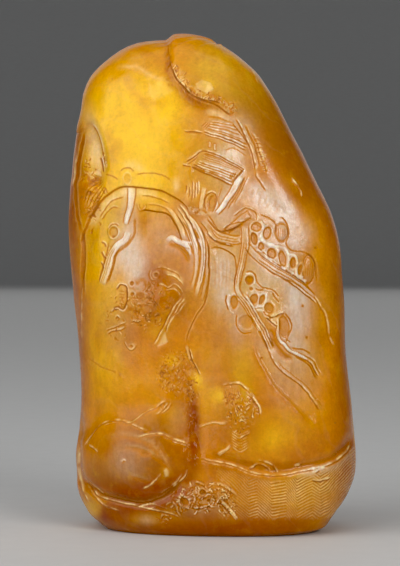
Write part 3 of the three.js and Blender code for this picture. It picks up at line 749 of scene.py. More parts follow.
# %% Rind
RIND_LIP = [(5.2, 82.2), (6.2, 80.4), (7.3, 78), (8.4, 75.8), (9, 73.6), (9.3, 71.6)]
line(RIND_LIP, 0.2, 0.36, 0.75, 0.08)
cut(shifted(RIND_LIP[1:], 0.55, 0.5), 0.2, 0.36, 0.6, 0.1)
line([(8.2, 79.8), (9.4, 77.4), (10.2, 75.2), (10.8, 73.4), (11.6, 70.6)], 0.08, 0.4, 0.35)
chips((9.9, 75), (0.8, 2.6), 18, 0.6, 0.12, 41, 0.3, 0.3)
swath([(8.6, 77.6), (9.8, 75), (10.4, 72.4)], 0.3, 1.4, 0.2, "pale")
for step in range(8):
    x, z = 8.5 + 0.25 * step, 78 - 0.9 * step
    line([(x, z), (x + 0.7, z + 0.05), (x + 1.4, z + 0.1)], 0.08, 0.26, 0.45, 0.3)
line([(9.4, 71.6), (9.7, 70.4), (10.6, 69), (11.6, 67.6)], 0.12, 0.4)
line([(16.1, 70.2), (17, 69), (17.9, 67.9), (18.3, 66.2)], 0.12, 0.3, 0.5)
net([(16.6, 69.4), (17.4, 68.6)], 0.6, 0.7)
line([(22.3, 44.5), (23.3, 43.3), (24, 40.8), (24.2, 38.4), (25, 36.4)], 0.1, 0.36, 0.5)
for stroke in fan([(9.2, 69.6), (7.6, 65.4)], [(14.6, 65.4), (12.4, 62.4)], 7):
    cut(stroke, 0.03, 0.34, 0.14, 0.3)
tell("edge of the rind")

# %% [markdown]
# The left flank
#
# A shallow broken facet beside the golden face, with a few folds that run down to the arch. Close
# to the stone's edge a dark seam runs down.

# %% Left flank
line([(-24.4, 81.6), (-23.4, 80.4), (-22.6, 78.6), (-22, 76.4), (-21.6, 74.2), (-21.2, 72)],
     0.08, 0.5, 0.3, on=carried)
chips((-21.6, 73.6), (0.6, 1.9), 18, 0.5, 0.18, 51, 0.7, 0.3)
line([(-22.6, 74.4), (-22, 72.8), (-21.6, 71.2)], 0.12, 0.4, 0.8)
SEAM = [(-25.6, 80), (-26, 77.6), (-26.6, 72.6), (-26.9, 67.6), (-26.4, 62.6), (-25.7, 58.6)]
cut(SEAM, 0.16, 0.5, 0.7, on=carried)
line([(-26.8, 76), (-27.2, 72), (-27.4, 68)], 0.1, 0.4, 0.4, on=carried)
for fold in fan([(-22, 70), (-23.6, 68.6), (-24.8, 66.8), (-25.4, 64.6)],
                [(-20.6, 68.4), (-21.8, 66.4), (-22.8, 64.6), (-23.8, 62.8)], 5):
    drop(fold, 0.14, 0.4, 1.8, 0.25)
    cut(fold, 0.06, 0.3, 0.35, 0.2)
mottle((-24.2, 66), (2.6, 6), 0, 0.9, 0.08, 0.45, 52)
flecks((-24.2, 66.4), (1.8, 8), 8, 50, 0.9, 54, 0.3, 0.6)
chips((-23.8, 70.6), (1.6, 1.6), 0, 0.8, 0.1, 53)
bough([(-21.5, 67.9), (-21, 67.5), (-20.8, 66.9)], 0.12, 0.36, 0.5, 0.5)
for contour in [
    [(-21.2, 70.8), (-19.6, 70.4), (-18.4, 69.6)],
    [(-15.4, 70.6), (-13, 71), (-11, 71), (-9, 70.4), (-7.6, 69.2)],
    [(-18.2, 71), (-17.4, 71.9), (-16.2, 72), (-15.2, 71.1)],
]:
    cut(contour, 0.06, 0.34, 0.35)
swath([(-17.8, 72), (-16, 72.6), (-13.8, 71.9), (-12.6, 71.9)], 0.4, 1.6, 0.3, "pale")
tell("left flank")

# %% [markdown]
# The rounded cliff
#
# A cliff like a bell, drawn by one dark line over a pale rim with a painted highlight, with soft
# bands inside it. The right side of the bell turns into the trunk of the big pine.

# %% Arch of the cliff
ARCH = [(-25.8, 49), (-25.7, 54), (-25.6, 57.8), (-24.8, 60.3), (-23.6, 62.8), (-21.7, 65.6),
        (-19.2, 67.6), (-17.2, 68.3), (-14.4, 68.1), (-10.5, 67.6), (-7.7, 66.4), (-5.4, 64.8),
        (-3.8, 62.6)]
drop(ARCH, 0.4, 0.6, 7, 0.1)
cut(ARCH, 0.16, 0.32, 0.5, 0.06)
# The pale band inside the arch line is a painted highlight.
swath(shifted(ARCH[3:10], 0.5, -0.9), 0.5, 1.8, 0.15, "pale")
for band, pale in [
    ([(-22.8, 62), (-21.4, 64), (-20, 65.6), (-17.8, 66.4), (-17.2, 66.5)], 0.4),
    ([(-22.2, 61.6), (-20.9, 63.4), (-19.6, 64.4), (-18.2, 64.2)], 0.35),
    ([(-14.2, 66.8), (-12, 66.6), (-10, 66), (-8, 65)], 0.3),
    ([(-13, 65), (-11, 64.9), (-9.4, 64.4), (-8.2, 63.6)], 0.3),
]:
    line(band, 0.09, 0.34, pale)
ARCH_INNER = [(-14.4, 63.6), (-11.6, 63.4), (-8.8, 62.8), (-7.1, 60.8), (-6.3, 58.9), (-5.6, 57.2)]
drop(ARCH_INNER, 0.4, 0.4, 6)
cut(ARCH_INNER, 0.12, 0.34, 0.6, 0.1)
bough([(-9.2, 64.3), (-8.2, 63.5), (-7, 62), (-6, 60.2), (-5.4, 57.6)], 0.16, (0.6, 1.2), 0.8, 0.3, 0.2)
RIM_RIGHT = [(-6.2, 65.1), (-5.1, 63.9), (-4.3, 62.8), (-2.9, 60), (-1.9, 57.4), (-1.4, 55.4)]
line(shifted(RIM_RIGHT, -0.2, -0.2), 0.14, 0.4, 0.85, 0.1)
line(shifted(RIM_RIGHT, -0.95, -0.6), 0.1, 0.3, 0.55)
line(shifted(RIM_RIGHT[1:], -1.7, -0.9), 0.1, 0.3, 0.5)
swath(shifted(RIM_RIGHT, -1.0, -0.6), 0.35, 2.2, 0.15, "pale")
tell("rounded cliff")

# %% [markdown]
# The small pine
#
# A pine stands in front of the cliff: a pale flat trunk that breaks where it bends, with a dark
# edge on its right and, on its left, a few hooks and a ring of foliage.

# %% Small pine on the cliff
PINE_TOP = [(-15.9, 68.2), (-15.9, 66.2), (-16.2, 64.2), (-16.7, 62.2), (-17.1, 60.6)]
PINE_LOW = [(-16.6, 59.4), (-17, 57.7), (-18.6, 56.4), (-19.6, 54.8), (-20.1, 53.2), (-20.7, 51),
            (-21.5, 48.6)]
bough(PINE_TOP, 0.28, (1.5, 0.8), 0.95, 0.5, 0.05)
bough(PINE_LOW, 0.28, (1.2, 1.5), 0.85, 0.3, 0.06)
cut([(-15.1, 62.4), (-15.3, 59.6), (-15.8, 57.6), (-17.2, 56), (-18.5, 55.1), (-19, 53.8),
     (-19.5, 51.6), (-20.4, 48.9)], 0.26, 0.5, 0.35, 0.08)
for side in (-0.35, 0.1):
    cut(shifted(PINE_LOW[2:], side, 0), 0.06, 0.24, 0.3)
line([(-20, 57.4), (-20.3, 55.6), (-20.9, 53.2), (-21.5, 51.2), (-22, 49)], 0.12, 0.3, 0.5)
for hook in [[(-21.4, 55.4), (-21, 54.4), (-20.6, 54)], [(-21.8, 53.4), (-21.2, 52.8), (-20.9, 51.8)],
             [(-21.6, 57.4), (-20.9, 57), (-20.6, 56.2)]]:
    line(hook, 0.1, 0.34)
pit((-19.3, 59.2), (0.85, 1.05), 0, 0.2, 0.2, 0.25, 0.8)
pit((-19.3, 58.2), (0.22, 0.18), 0, 0.18, 0.0, 0.8, 0)
line([(-20.6, 59.8), (-20, 60.8), (-19, 61), (-18.2, 60.4)], 0.1)
pit((-16.6, 69.9), (0.6, 0.85), 0, 0.06, 0.1, 0.15, 0.4)
bough([(-14.6, 65), (-14.5, 64), (-13.9, 63.6), (-13.3, 64.2), (-13.4, 64.9)], 0.1, 0.3, 0.5, 0.3)
swell(0.4, (-22.2, 56), (2.2, 6))
tell("small pine")

# %% [markdown]
# Rock and foliage inside the cliff
#
# Low on the left the stone was worked like the skin of old rock: curls, small pits and swirls in a
# rusty patch. The curls are drawn one by one, and the patch is blotchy skin under many short bent
# strokes and a few pits.

# %% Curls and foliage
swell(0.7, (-9.6, 44), (4.6, 5))
drop([(-5, 47.6), (-7, 43.4), (-10, 39)], 0.3, 0.6, 4, 0.3)
bough([(-8.9, 57.4), (-7.9, 58.1), (-6.5, 57.4), (-5.2, 56.9), (-3.6, 56.6)],
      0.24, (0.9, 1.4), 0.85, 0.2, 0.12)
bough([(-5.2, 56.9), (-4.4, 55.8), (-3.9, 54.4)], 0.16, (1.3, 0.5), 0.7, 0.3, 0.15)
cut([(-25.4, 34.8), (-23.6, 33.4), (-21.8, 32.2), (-19.6, 31.4), (-17.8, 30.8)], 0.06, 0.36, 0.3, 0.25)
ARM_SHADE = [(-9.2, 56.8), (-7.6, 56.6), (-6, 55.8), (-4.8, 54.4), (-4, 52.6)]
# A shadow painted under the arm: a shallow channel that is darkened.
swath(ARM_SHADE, -0.2, 0.9, 0.2)
swath(ARM_SHADE, 0.55, 0.9, 0.2, "stain")
for curl, height, pale in [
    ([(-11.4, 51.9), (-9.9, 52.2), (-8.6, 51.9), (-6.8, 51.1), (-5.4, 49.6)], 0.12, 0.5),
    ([(-9, 50.8), (-7.4, 50.5), (-5.9, 49.4), (-5.2, 48.4)], 0.1, 0.5),
    ([(-10.6, 48.9), (-9.4, 48.6), (-8.4, 48.2), (-7.3, 48.8), (-6.2, 48.2), (-5.3, 46.8)], 0.12, 0.6),
    ([(-9, 47.6), (-7.4, 47.9), (-6.4, 47.2), (-5.9, 46.2)], 0.08, 0.4),
    ([(-11.7, 51.6), (-12, 50.6), (-11.6, 49.7), (-10.6, 49.5)], 0.1, 0.4),
]:
    line(curl, height, 0.32, pale)
swath([(-9.4, 51.4), (-7.8, 51.1), (-6.2, 50.1), (-5.2, 48.8)], 0.45, 0.9, 0.2, "pale")
pit((-10.8, 50.6), (0.36, 0.36), 0, 0.28, 0.06, 0.95, 0.3)
for root in [
    [(-5.3, 46.5), (-7.3, 44), (-9, 40.6), (-10.2, 38.4), (-11.3, 36.2)],
    [(-4.7, 45.4), (-6.1, 43.6), (-7.3, 42.2), (-8.4, 40.3), (-8.8, 38.8)],
    [(-5, 46), (-6.6, 43.9), (-8.1, 41.4)],
]:
    line(root, 0.14, 0.32, 0.65, 0.12)
plate([(-9.0, 39.7), (-8.4, 37.2), (-10.1, 36.3), (-11, 36.0)], -0.1, 0.3, 0.45)
LOOP = [(-18.8, 47.6), (-18.4, 48.2), (-17.7, 48.9), (-16.4, 48.5), (-16.1, 46.8), (-16.2, 44.8),
        (-17.1, 43.5), (-18.2, 44), (-19.2, 43.6)]
line(LOOP, 0.16, 0.34, 0.8, 0.06)
for step in range(6):
    cut([(-18, 47.4 - 0.6 * step), (-16.8, 47.2 - 0.6 * step)], 0.05, 0.26, 0.3)
for centre, size in [((-15.3, 46.8), 0.34), ((-15.4, 48.9), 0.34), ((-13.9, 44.4), 0.24),
                     ((-15.7, 36.4), 0.22), ((-12.6, 47.4), 0.24), ((-11.8, 45.7), 0.3)]:
    pit(centre, (size, size), 0, 0.16, 0.06, 0.6, 0.35)
for twig in [
    [(-20.8, 38.7), (-19.7, 39.5), (-17.7, 39.8), (-16.6, 40.6)],
    [(-21, 39.6), (-19.6, 40.1), (-18.2, 40.6), (-16.6, 41.4)],
    [(-19.6, 43.4), (-18.8, 44.1), (-18.2, 43.7)],
    [(-19, 42), (-18.4, 42.6), (-17.8, 42)],
    [(-17.1, 37.4), (-16.6, 36.4), (-15.7, 35.8), (-14.6, 36.7)],
    [(-15.6, 41.8), (-14.6, 41.4), (-13.6, 41.6)],
]:
    line(twig, 0.1, 0.34)
flecks((-11.8, 45.4), (4.4, 3.8), -12, 54, 1.5, 64, 0.2, 0.6)
flecks((-12.4, 41.2), (3.4, 1.8), 0, 30, 0.8, 65)
flecks((-18.6, 42.6), (2.4, 5), 0, 26, 0.8, 66, 0.35)
mottle((-12.2, 45.4), (6, 6), 0, 0.7, 0.07, 0.6, 61)
mottle((-18, 31), (1.6, 2.2), 0, 0.6, 0.05, 0.3, 63)
cut([(-25.5, 60), (-25.4, 56), (-25.4, 50.6), (-25.2, 46)], 0.14, 0.4, 0.6)
line([(-25, 52), (-25.5, 47.6), (-25.7, 43), (-25.8, 38)], 0.1, 0.34, 0.35)
tell("curls and foliage")

# %% [markdown]
# The big pine
#
# The trunk is a bundle of long ridges, thick where it leaves the cliff and lost in the rock below.
# Boughs spread from it over the recessed face. They are flat and pale, partly with a painted
# highlight, and have a narrow dark edge.

# %% Trunk
TRUNK = [(-6.4, 66.4), (-3.6, 62.6), (-2, 58.6), (-1.5, 54.6), (-1.9, 49.6), (-3.4, 44.6)]
swath(TRUNK, 0.5, 4.4, 0.15)
for strand, height, wide, pale in [
    ([(-5.2, 63), (-3.4, 61.2), (-2, 58.8), (-1.5, 56.6), (-1.4, 54.2), (-1.7, 51.3), (-2.3, 48.5),
      (-3, 46)], 0.16, (0.9, 0.8), 0.75),
    ([(-6, 62.6), (-4.3, 60.4), (-3.3, 57.8), (-2.8, 55.2), (-2.7, 52.8), (-3.1, 50),
      (-3.8, 47.4)], 0.13, (1.0, 0.6), 0.5),
    ([(-0.9, 57), (-0.6, 54.6), (-0.7, 51), (-1.1, 48), (-1.8, 45.4)], 0.1, (0.5, 0.6), 0.35),
]:
    bough(strand, height, wide, pale, 0.5, 0.1)
line([(-3.3, 61.8), (-1.9, 58.9), (-1.3, 57), (-1.1, 54.2), (-1.4, 51.3), (-2, 48.5)],
     0.1, 0.26, 0.9, 0.1)
cut([(-2.2, 60.4), (-1, 57.9), (-0.4, 56.1), (-0.2, 53.3), (-0.3, 49.1), (-1.1, 45.1), (-2.8, 42.3),
     (-4.5, 38.7), (-4.7, 36.8)], 0.2, 0.36, 0.6, 0.06)
tell("trunk")

# %% [markdown]
# The boughs
#
# A bough is a flat bar with two or three cuts along it for its bark, and one bright line along its
# edge, a painted highlight. The long one is made of two bars, because it is widest in the middle.

# %% Boughs
LIMB = [(-1.4, 62), (-0.4, 60.8), (0.8, 59), (2.4, 58), (4.8, 57.6), (6.4, 57.8)]
STUB = [(3.2, 59.2), (5, 60.8), (6.8, 62.2), (8, 62.9)]
DOWN = [(6.9, 60.6), (7, 57.6), (6.8, 55.4), (6.3, 52.6), (5.7, 50.6), (5.4, 47.8), (6.3, 46)]
LONG_BOUGH = [(7, 56.8), (9.1, 54.5), (11.4, 52.8), (14.1, 51.2), (17.1, 49.6), (19.5, 48), (21.6, 46)]
WIDE_BOUGH = [(6, 46.6), (7.2, 45), (8.4, 43), (9.6, 41), (10.6, 39.4), (11.4, 37.6), (12.2, 35.8)]
bough(LIMB, 0.24, (2.0, 1.4), 0.35, 0.6, 0.1)
for side in (-0.3, 0.25):
    cut(shifted(LIMB[1:], 0, side), 0.06, 0.24, 0.35, 0.2)
line([(-0.7, 59.3), (0.5, 58.1), (2, 57.2), (3.4, 56.8), (4.8, 56.6)], 0.16, 0.36, 0.95, 0.1)
cut([(-0.8, 62), (0.4, 60.6), (1.4, 59.6), (3.2, 59.3), (6, 60.5)], 0.18, 0.4, 0.55)
bough(STUB, 0.3, (0.9, 1.5), 0.15, 0.6, 0.06)
line([(4.4, 62.4), (5.6, 63.4), (7, 64.2), (8.6, 63.8), (9.5, 62.6), (9.3, 61.4)], 0.14, 0.3, 0.6, 0.1)
line([(2.4, 59.8), (3.8, 60.8), (5.6, 61.4), (7.2, 61.6)], 0.08, 0.26)
# A shadow painted below the stub.
swath([(1.8, 58.9), (3.6, 59.6), (5.6, 60.4), (7, 60.9)], 0.6, 0.7, 0.2, "stain")
bough(DOWN, 0.26, (1.4, 0.9), 0.5, 0.55, 0.04)
for side in (-0.3, 0.25):
    cut(shifted(DOWN[1:6], side, 0), 0.06, 0.22, 0.35)
bough(LONG_BOUGH[:4], 0.26, (1.0, 1.9), 0.35, 0.5, 0.12)
bough(LONG_BOUGH[2:], 0.26, (1.9, 0.5), 0.35, 0.5, 0.12)
cut(shifted(LONG_BOUGH[1:], 0.15, 0.2), 0.12, 0.24, 0.6)
cut(shifted(LONG_BOUGH[1:6], -0.2, -0.3), 0.1, 0.24)
line(shifted(LONG_BOUGH[1:6], 0.45, 0.7), 0.12, 0.3, 0.9)
line([(14.2, 50.4), (16.6, 49), (19, 47.4), (21, 45.8), (22, 44.8)], 0.12, 0.32, 0.95)
line([(21.2, 46.6), (22.3, 45), (22.9, 43.6)], 0.08)
bough(WIDE_BOUGH, 0.22, (2.0, 1.2), 0.35)
for side in (-0.55, -0.1, 0.4):
    cut(shifted(WIDE_BOUGH, side, 0.3 * side), 0.08, 0.24, 0.55, 0.1)
line(shifted(WIDE_BOUGH, 0.6, 0.3), 0.1, 0.3, 0.85, 0.12)
PANEL = [(-0.1, 55.6), (1.1, 56.1), (2.9, 55.6), (4.6, 54.6), (5.2, 52.8), (5, 50.6), (4.7, 47.8)]
drop(PANEL, 0.2, 0.3, 4, 0.1)
cut(PANEL, 0.1, 0.32, 0.55, 0.1)
for x in (0.8, 1.6, 2.3, 3.1, 3.8):
    cut([(x, 55), (x + 0.15, 51), (x - 0.1, 46.8)], 0.03, 0.3, 0.16, 0.3)
tell("boughs")

# %% [markdown]
# Long roots over the cut plane
#
# Below the boughs three long lines sweep down to the right over a plain, slightly hollow plane.
# The upper one is the brightest stroke on the stone, with a painted shadow band under it.

# %% Sweeping lines
SWEEP = [(13.5, 42), (13.6, 40.6), (13.4, 38.9), (13.9, 37.5), (14.8, 36.7), (15.8, 35.5), (17.2, 34.8),
         (18.7, 34.3), (19.9, 33.6), (20.9, 32.6), (22.1, 30.2)]
SWEEP_SHADE = [(12, 40.4), (12.4, 38.6), (13, 36.8), (14.4, 34.9), (15.6, 34), (17, 34)]
# The band under the upper sweep is painted shadow: darkened, and sunk a little.
swath(SWEEP_SHADE, 0.6, 1.2, 0.15, "stain")
swath(SWEEP_SHADE, -0.15, 1.2, 0.15)
bough(SWEEP[:9], 0.32, (0.5, 0.5), 1.0, 0.45, 0.1)
bough([(13.8, 37.6), (14.6, 36.8), (15.6, 35.8), (17, 35), (18.2, 34.6)], 0.12, 0.8, 0.9, 0.2, 0.2)
line(SWEEP[7:], 0.14, 0.32, 0.7)
line(shifted(SWEEP[7:], 0.5, 0.5), 0.12, 0.3, 0.45)
cut(shifted(SWEEP[6:], -0.5, -0.5), 0.12, 0.36, 0.55)
line([(11.3, 42.5), (12.7, 42.4), (13.6, 42.9), (14.8, 43.1)], 0.18, 0.36, 0.95, 0.1)
line([(11.3, 42.4), (12.4, 41.3), (13.4, 40.5)], 0.18, 0.4, 0.95, 0.1)
swath([(12.4, 42.2), (13.2, 41.6), (13.6, 40.8)], 0.6, 0.9, 0.2, "pale")
cut([(16.2, 36.2), (17.2, 35.8), (18.7, 35.7), (19.6, 35.3), (20.6, 34.7)], 0.14, 0.36)
cut([(15.1, 37.2), (15.5, 37.6), (16.1, 37.1)], 0.1, 0.3)
CREST = [(10.5, 39.2), (11.2, 37.2), (11.9, 35.3), (12.9, 33.1), (14.1, 31.7), (16, 30.2), (18, 28.8),
         (19.6, 27.3), (20.4, 26.1), (22.1, 23.5)]
swath(CREST, 0.2, 2.0, 0.1)
line(CREST, 0.18, 0.34, 0.65, 0.06)
cut(shifted(CREST[3:], 0.35, 0.45), 0.08, 0.28, 0.4, 0.1)
PLANE_FOOT = [(8.8, 37.9), (9.5, 34.6), (11, 31.7), (13.1, 28.3), (16, 25.4), (19.4, 21.8), (21, 20)]
drop(PLANE_FOOT[::-1], 0.35, 0.8, 6)
# A line of painted shadow along the foot of the cut plane.
swath(shifted(PLANE_FOOT, -0.5, -0.3), 0.35, 1.2, 0.15, "stain")
for scratch in fan([(12, 34.2), (11.4, 33.2)], [(20.4, 29.4), (20.8, 28.4)], 5):
    cut(scratch, 0.03, 0.3, 0.16)
tell("sweeping lines")

# %% [markdown]
# Needle clusters like nets
#
# Carvers of thin relief draw pine foliage as a net of small cells. The net is a pale flat ridge,
# and each cell is a stained flat-floored pit. A few cells are domes with fine upright strokes.

# %% Leaf cells
for web, wide in [
    ([(10.3, 61.2), (10.6, 60.2), (10.4, 59), (9.9, 58)], 0.6),
    ([(10.2, 58.2), (10.8, 57.4), (12.2, 56.6), (13.2, 56.2), (13.6, 55.4)], 0.7),
    ([(9.4, 55.7), (10.6, 55.4), (11.4, 54.2), (12.6, 53.4), (13.6, 52.5), (15.2, 51.7), (16.6, 51)],
     0.6),
    ([(13.4, 56.4), (14.9, 56.1), (15.7, 54.9), (15.8, 53), (15.5, 51.8)], 0.6),
    ([(15.8, 54.8), (17, 54.5), (17.5, 53.2), (17.3, 51.6), (17.6, 50.5), (18.8, 50.2)], 0.5),
    ([(16.4, 50.9), (17.8, 50.2), (19.4, 49.4)], 0.5),
    ([(7.2, 50.9), (8.4, 50.9), (8.9, 49.9), (8.9, 48.9)], 0.35),
    ([(7.4, 47), (7.4, 45.4), (8.2, 44.4), (9.2, 44.2), (9.6, 45.2), (9.5, 46.6)], 0.45),
    ([(9.6, 44.4), (10.6, 44.4), (11.2, 45.4), (11.2, 46.8)], 0.45),
    ([(9.4, 43.6), (10.4, 43.4), (10.9, 42.6), (11.8, 42.3), (13, 42.8)], 0.6),
    ([(3.8, 46.6), (3.5, 45.2), (3.9, 43.6), (4.6, 43)], 0.35),
    ([(8.6, 41.8), (9.3, 40.9), (9.8, 39.8)], 0.8),
    ([(9.8, 60.9), (10.6, 60.6)], 0.9),
    ([(11.4, 56.9), (12.6, 56.5)], 0.9),
]:
    net(web, wide)
CELLS = [
    ((9.3, 60.3), (1.15, 0.95), 15, 0.5), ((11.5, 59.1), (0.8, 1.25), -10, 0.6),
    ((8.8, 57.9), (0.7, 1.2), 12, 0.8), ((10.2, 56.4), (0.55, 0.8), 0, 0.6),
    ((12.3, 54.9), (0.85, 1.1), 12, 0.75), ((14.5, 53.9), (0.75, 1.75), 12, 0.5),
    ((16.7, 53.1), (0.52, 1.05), -6, 0.7), ((18.2, 51.7), (0.5, 1.0), -8, 0.5),
    ((7.8, 49.6), (0.85, 0.9), 0, 0.8), ((8.2, 47.8), (0.3, 0.3), 0, 0.6),
    ((8.7, 45.8), (0.75, 1.05), -25, 0.5), ((10.3, 45.8), (0.55, 0.95), -25, 0.6),
    ((11.8, 44), (0.95, 1.1), 30, 0.5), ((4.7, 45.2), (0.75, 1.35), 0, 0.5),
]
for centre, radii, turn, stain in CELLS:
    pit(centre, radii, turn, 0.24, 0.06, stain, 0.55)
pit((7.1, 41.2), (1.5, 1.3), 0, 0.2, 0.06, 0.15, 0.3)
pit((14.7, 40.3), (1.1, 2.2), 6, 0.16, 0.03, 0.45, 0.1)
for (x, z), (wide, tall) in [((14.4, 59.2), (1.15, 1.6)), ((20, 51.7), (1.05, 2.5))]:
    dome((x, z), (wide, tall), 0, 0.2, 0.55)
    for step in (-0.6, -0.2, 0.2, 0.6):
        cut([(x + step * wide, z + 0.6 * tall), (x + step * wide, z - 0.6 * tall)], 0.05, 0.22, 0.35)
for contour in [
    [(13.5, 62), (14.7, 62), (15.6, 60.5), (15.8, 58.4), (15.4, 56.9), (16.5, 55.6), (18.9, 55.2),
     (20.7, 54.1), (21.4, 51.7), (21.6, 48.7)],
    [(9.8, 62.8), (11, 62.4), (12.4, 61.7), (13.2, 60.8), (13.2, 59)],
    [(6.9, 51), (8, 51.4), (9, 50.6), (9.4, 49.2), (10.2, 48.2), (11.2, 48), (12, 47.8), (13, 47.2),
     (13.8, 46)],
    [(12.4, 47.2), (12.8, 46.2), (13.8, 45.2)],
    [(10.6, 43.4), (11, 42.6), (12, 42.3)],
    [(5.3, 42.8), (5.1, 41.3), (5.4, 39.9), (6.6, 38.9), (8.5, 39.2)],
    [(14.8, 43), (15.8, 41.8), (16.3, 40.4), (15.8, 38.9), (15.1, 37.4)],
    [(9, 47.8), (9.8, 47.5), (10.6, 47.8)],
    [(9.9, 55.9), (10.9, 54.9), (12, 53.8)],
]:
    cut(contour, 0.14, 0.34, 0.55, 0.08)
line([(3.5, 46.6), (3.3, 45.2), (3.8, 43.6)], 0.12, 0.3, 0.9)
tell("leaf cells")

# %% [markdown]
# The low rock and the valley
#
# A small rock low in the middle, under one bent edge with a painted highlight. Its skin is a patch of
# tiny strokes, wavy above and like a fish bone below. Beside it in the valley lie a few thin ridges
# and a strip of speckled skin.

# %% Low rock
swell(0.7, (5.8, 24.4), (3.8, 5.4))
line([(2.2, 28.6), (3.9, 28.9), (5.9, 28.9), (7, 28.1), (7.8, 27.3)], 0.14, 0.4, 0.5, 0.2)
bough([(4.8, 29), (5.9, 28.9), (7, 28.1), (7.6, 27.5)], 0.14, 0.5, 0.8, 0.2, 0.25)
line([(8.2, 26.6), (9.2, 25), (9.9, 24.1), (10, 22.6)], 0.14, 0.4, 0.7)
line([(7.7, 26.8), (8.5, 25.6), (9.1, 24.4)], 0.08, 0.3, 0.35)
cut([(2.9, 27.6), (3.3, 26), (3.8, 24)], 0.06, 0.36, 0.3)
for step in range(9):
    x = 2.8 + 0.36 * step
    cut([(x - 0.2, 27.4 + 0.1 * step), (x + 0.1, 26.4), (x + 0.4, 25.8)], 0.06, 0.22, 0.35)
for stroke in [[(5.6, 24.6), (6, 23.9), (6.5, 23.4)], [(6.2, 24.6), (6.7, 24)],
               [(7, 24.2), (7.5, 24.8), (8.2, 24.9)], [(7.2, 23.6), (7.9, 24.2)],
               [(5, 24.2), (5.2, 23.2), (5.6, 22.4)], [(6.2, 22.2), (7, 22.4), (7.8, 22)],
               [(4, 23.4), (4.4, 22.4), (4.4, 21.4)], [(5.6, 21.2), (6.4, 21.6), (7.2, 21)],
               [(8.4, 23), (8.4, 22)]]:
    line(stroke, 0.12, 0.26, 0.5)
for step in range(7):
    z = 19.4 - 0.55 * step
    line([(4.2, z + 0.3), (5, z - 0.3), (5.9, z - 0.8), (6.8, z - 0.4), (7.7, z + 0.1)], 0.08, 0.24, 0.4)
line([(5.9, 18.1), (6.8, 18.6), (7.9, 19.2)], 0.1, 0.28, 0.5)
flecks((6.2, 23.4), (3.2, 4.6), 10, 85, 0.8, 78, 0.42)
flecks((4, 26), (1.6, 2.4), 0, 18, 0.8, 79, 0.35, 0.6)
mottle((6, 22.4), (3.2, 4), 0, 0.5, 0.07, 0.3, 71)
mottle((5, 16.8), (2.4, 1.8), 0, 0.5, 0.05, 0.3, 72)
bough([(-2.7, 20), (-1.1, 20.6), (0.6, 21), (2.6, 20.9), (3.7, 21.3)], 0.16, (0.3, 0.6), 0.6, 0.3, 0.2)
bough([(1.5, 14.5), (3.3, 15.7), (4.1, 16.6)], 0.2, (0.9, 0.4), 0.7, 0.3, 0.15)
bough([(-4.9, 36.6), (-4.3, 34.2), (-3.7, 32.8)], 0.16, (0.7, 0.4), 0.6, 0.35, 0.2)
line([(-4.2, 36), (-3.5, 33.6), (-2.8, 32.2), (-1.9, 30.5)], 0.14, 0.32, 0.8)
chips((-6.8, 30.6), (4.2, 4.6), 15, 0.8, 0.08, 73, 0.12, 0.3)
flecks((-6.8, 30.8), (4.2, 4.8), 15, 120, 0.7, 74, 0.26, 0.55)
flecks((-4, 27), (1.4, 2.6), 0, 24, 0.7, 75)
mottle((-4, 24), (2, 9), 0, 0.6, 0.1, 0.3, 77)
flecks((-4, 18.4), (1.4, 6), 6, 20, 1.1, 76, 0.15, 0.7)
tell("low rock and valley")

# %% [markdown]
# The mound
#
# A smooth round rock at the lower left with folds like pulled cloth. The folds are drops with a
# bright thin line on their crest.

# %% Mound
MOUND_CREST = MOUND_TOP[::-1]
line(MOUND_CREST[:6], 0.12, 0.36, 0.65)
line(MOUND_CREST[4:], 0.12, 0.34, 0.55, 0.1)
line(shifted(MOUND_CREST[2:6], 0.2, -0.5), 0.06, 0.3, 0.35, 0.2)
line([(-15.5, 21.1), (-13.4, 20), (-11.7, 19.2)], 0.1, 0.34)
line(MOUND_FOLD[::-1], 0.14, 0.36, 0.7, 0.1)
line(shifted(MOUND_FOLD[::-1][2:], 0.1, -0.6), 0.08, 0.3, 0.4)
for scratch, height, pale in [
    ([(-10, 22.9), (-8.8, 23.8), (-7.9, 25)], 0.08, 0.5),
    ([(-10.8, 22.6), (-9.6, 23.8), (-8.6, 25)], 0.06, 0.4),
    ([(-23.9, 16.7), (-22.8, 16.1), (-21.7, 15.2)], 0.1, 0.7),
    ([(-13, 7.9), (-11.9, 8.6), (-10.6, 9.8), (-9.4, 11.3)], 0.1, 0.6),
    ([(-9.4, 6.8), (-7, 8.7), (-5, 10.4), (-4.5, 11.9)], 0.16, 0.65),
    ([(-10, 7), (-8.2, 8.2), (-6.6, 9.4), (-5.4, 11)], 0.08, 0.4),
]:
    line(scratch, height, 0.34, pale)
line([(-16.8, 13.4), (-16.3, 13.8), (-15.8, 13.5)], 0.06, 0.3, 0.7)
for fold in [
    [(-20, 17.4), (-17, 18.2), (-14, 17.8), (-11, 16.4), (-8, 15.4)],
    [(-18.6, 15.4), (-15, 16), (-12, 15), (-9, 13.4), (-6.4, 13)],
    [(-12.6, 16.8), (-10, 15), (-8.6, 12.8), (-7.4, 10.4)],
    [(-16, 11), (-13, 9.6), (-10.6, 9.4)],
]:
    swath(fold, -0.1, 0.9, 0.4)
    swath(fold, 0.34, 0.8, 0.4, "stain")
    swath(shifted(fold, 0.1, 0.7), 0.2, 0.6, 0.4, "pale")
plate([(-9.1, 11.8), (-8.5, 12.3), (-7.9, 11.6), (-8.1, 10.4), (-8.8, 10.2)], 0.06, 0.3, 0.6)
mottle((-11, 14.4), (3.4, 3), -20, 1.4, 0.05, 0.4, 82)
chips((-9.4, 24.2), (1.4, 0.8), 30, 0.5, 0.08, 81)
tell("mound")
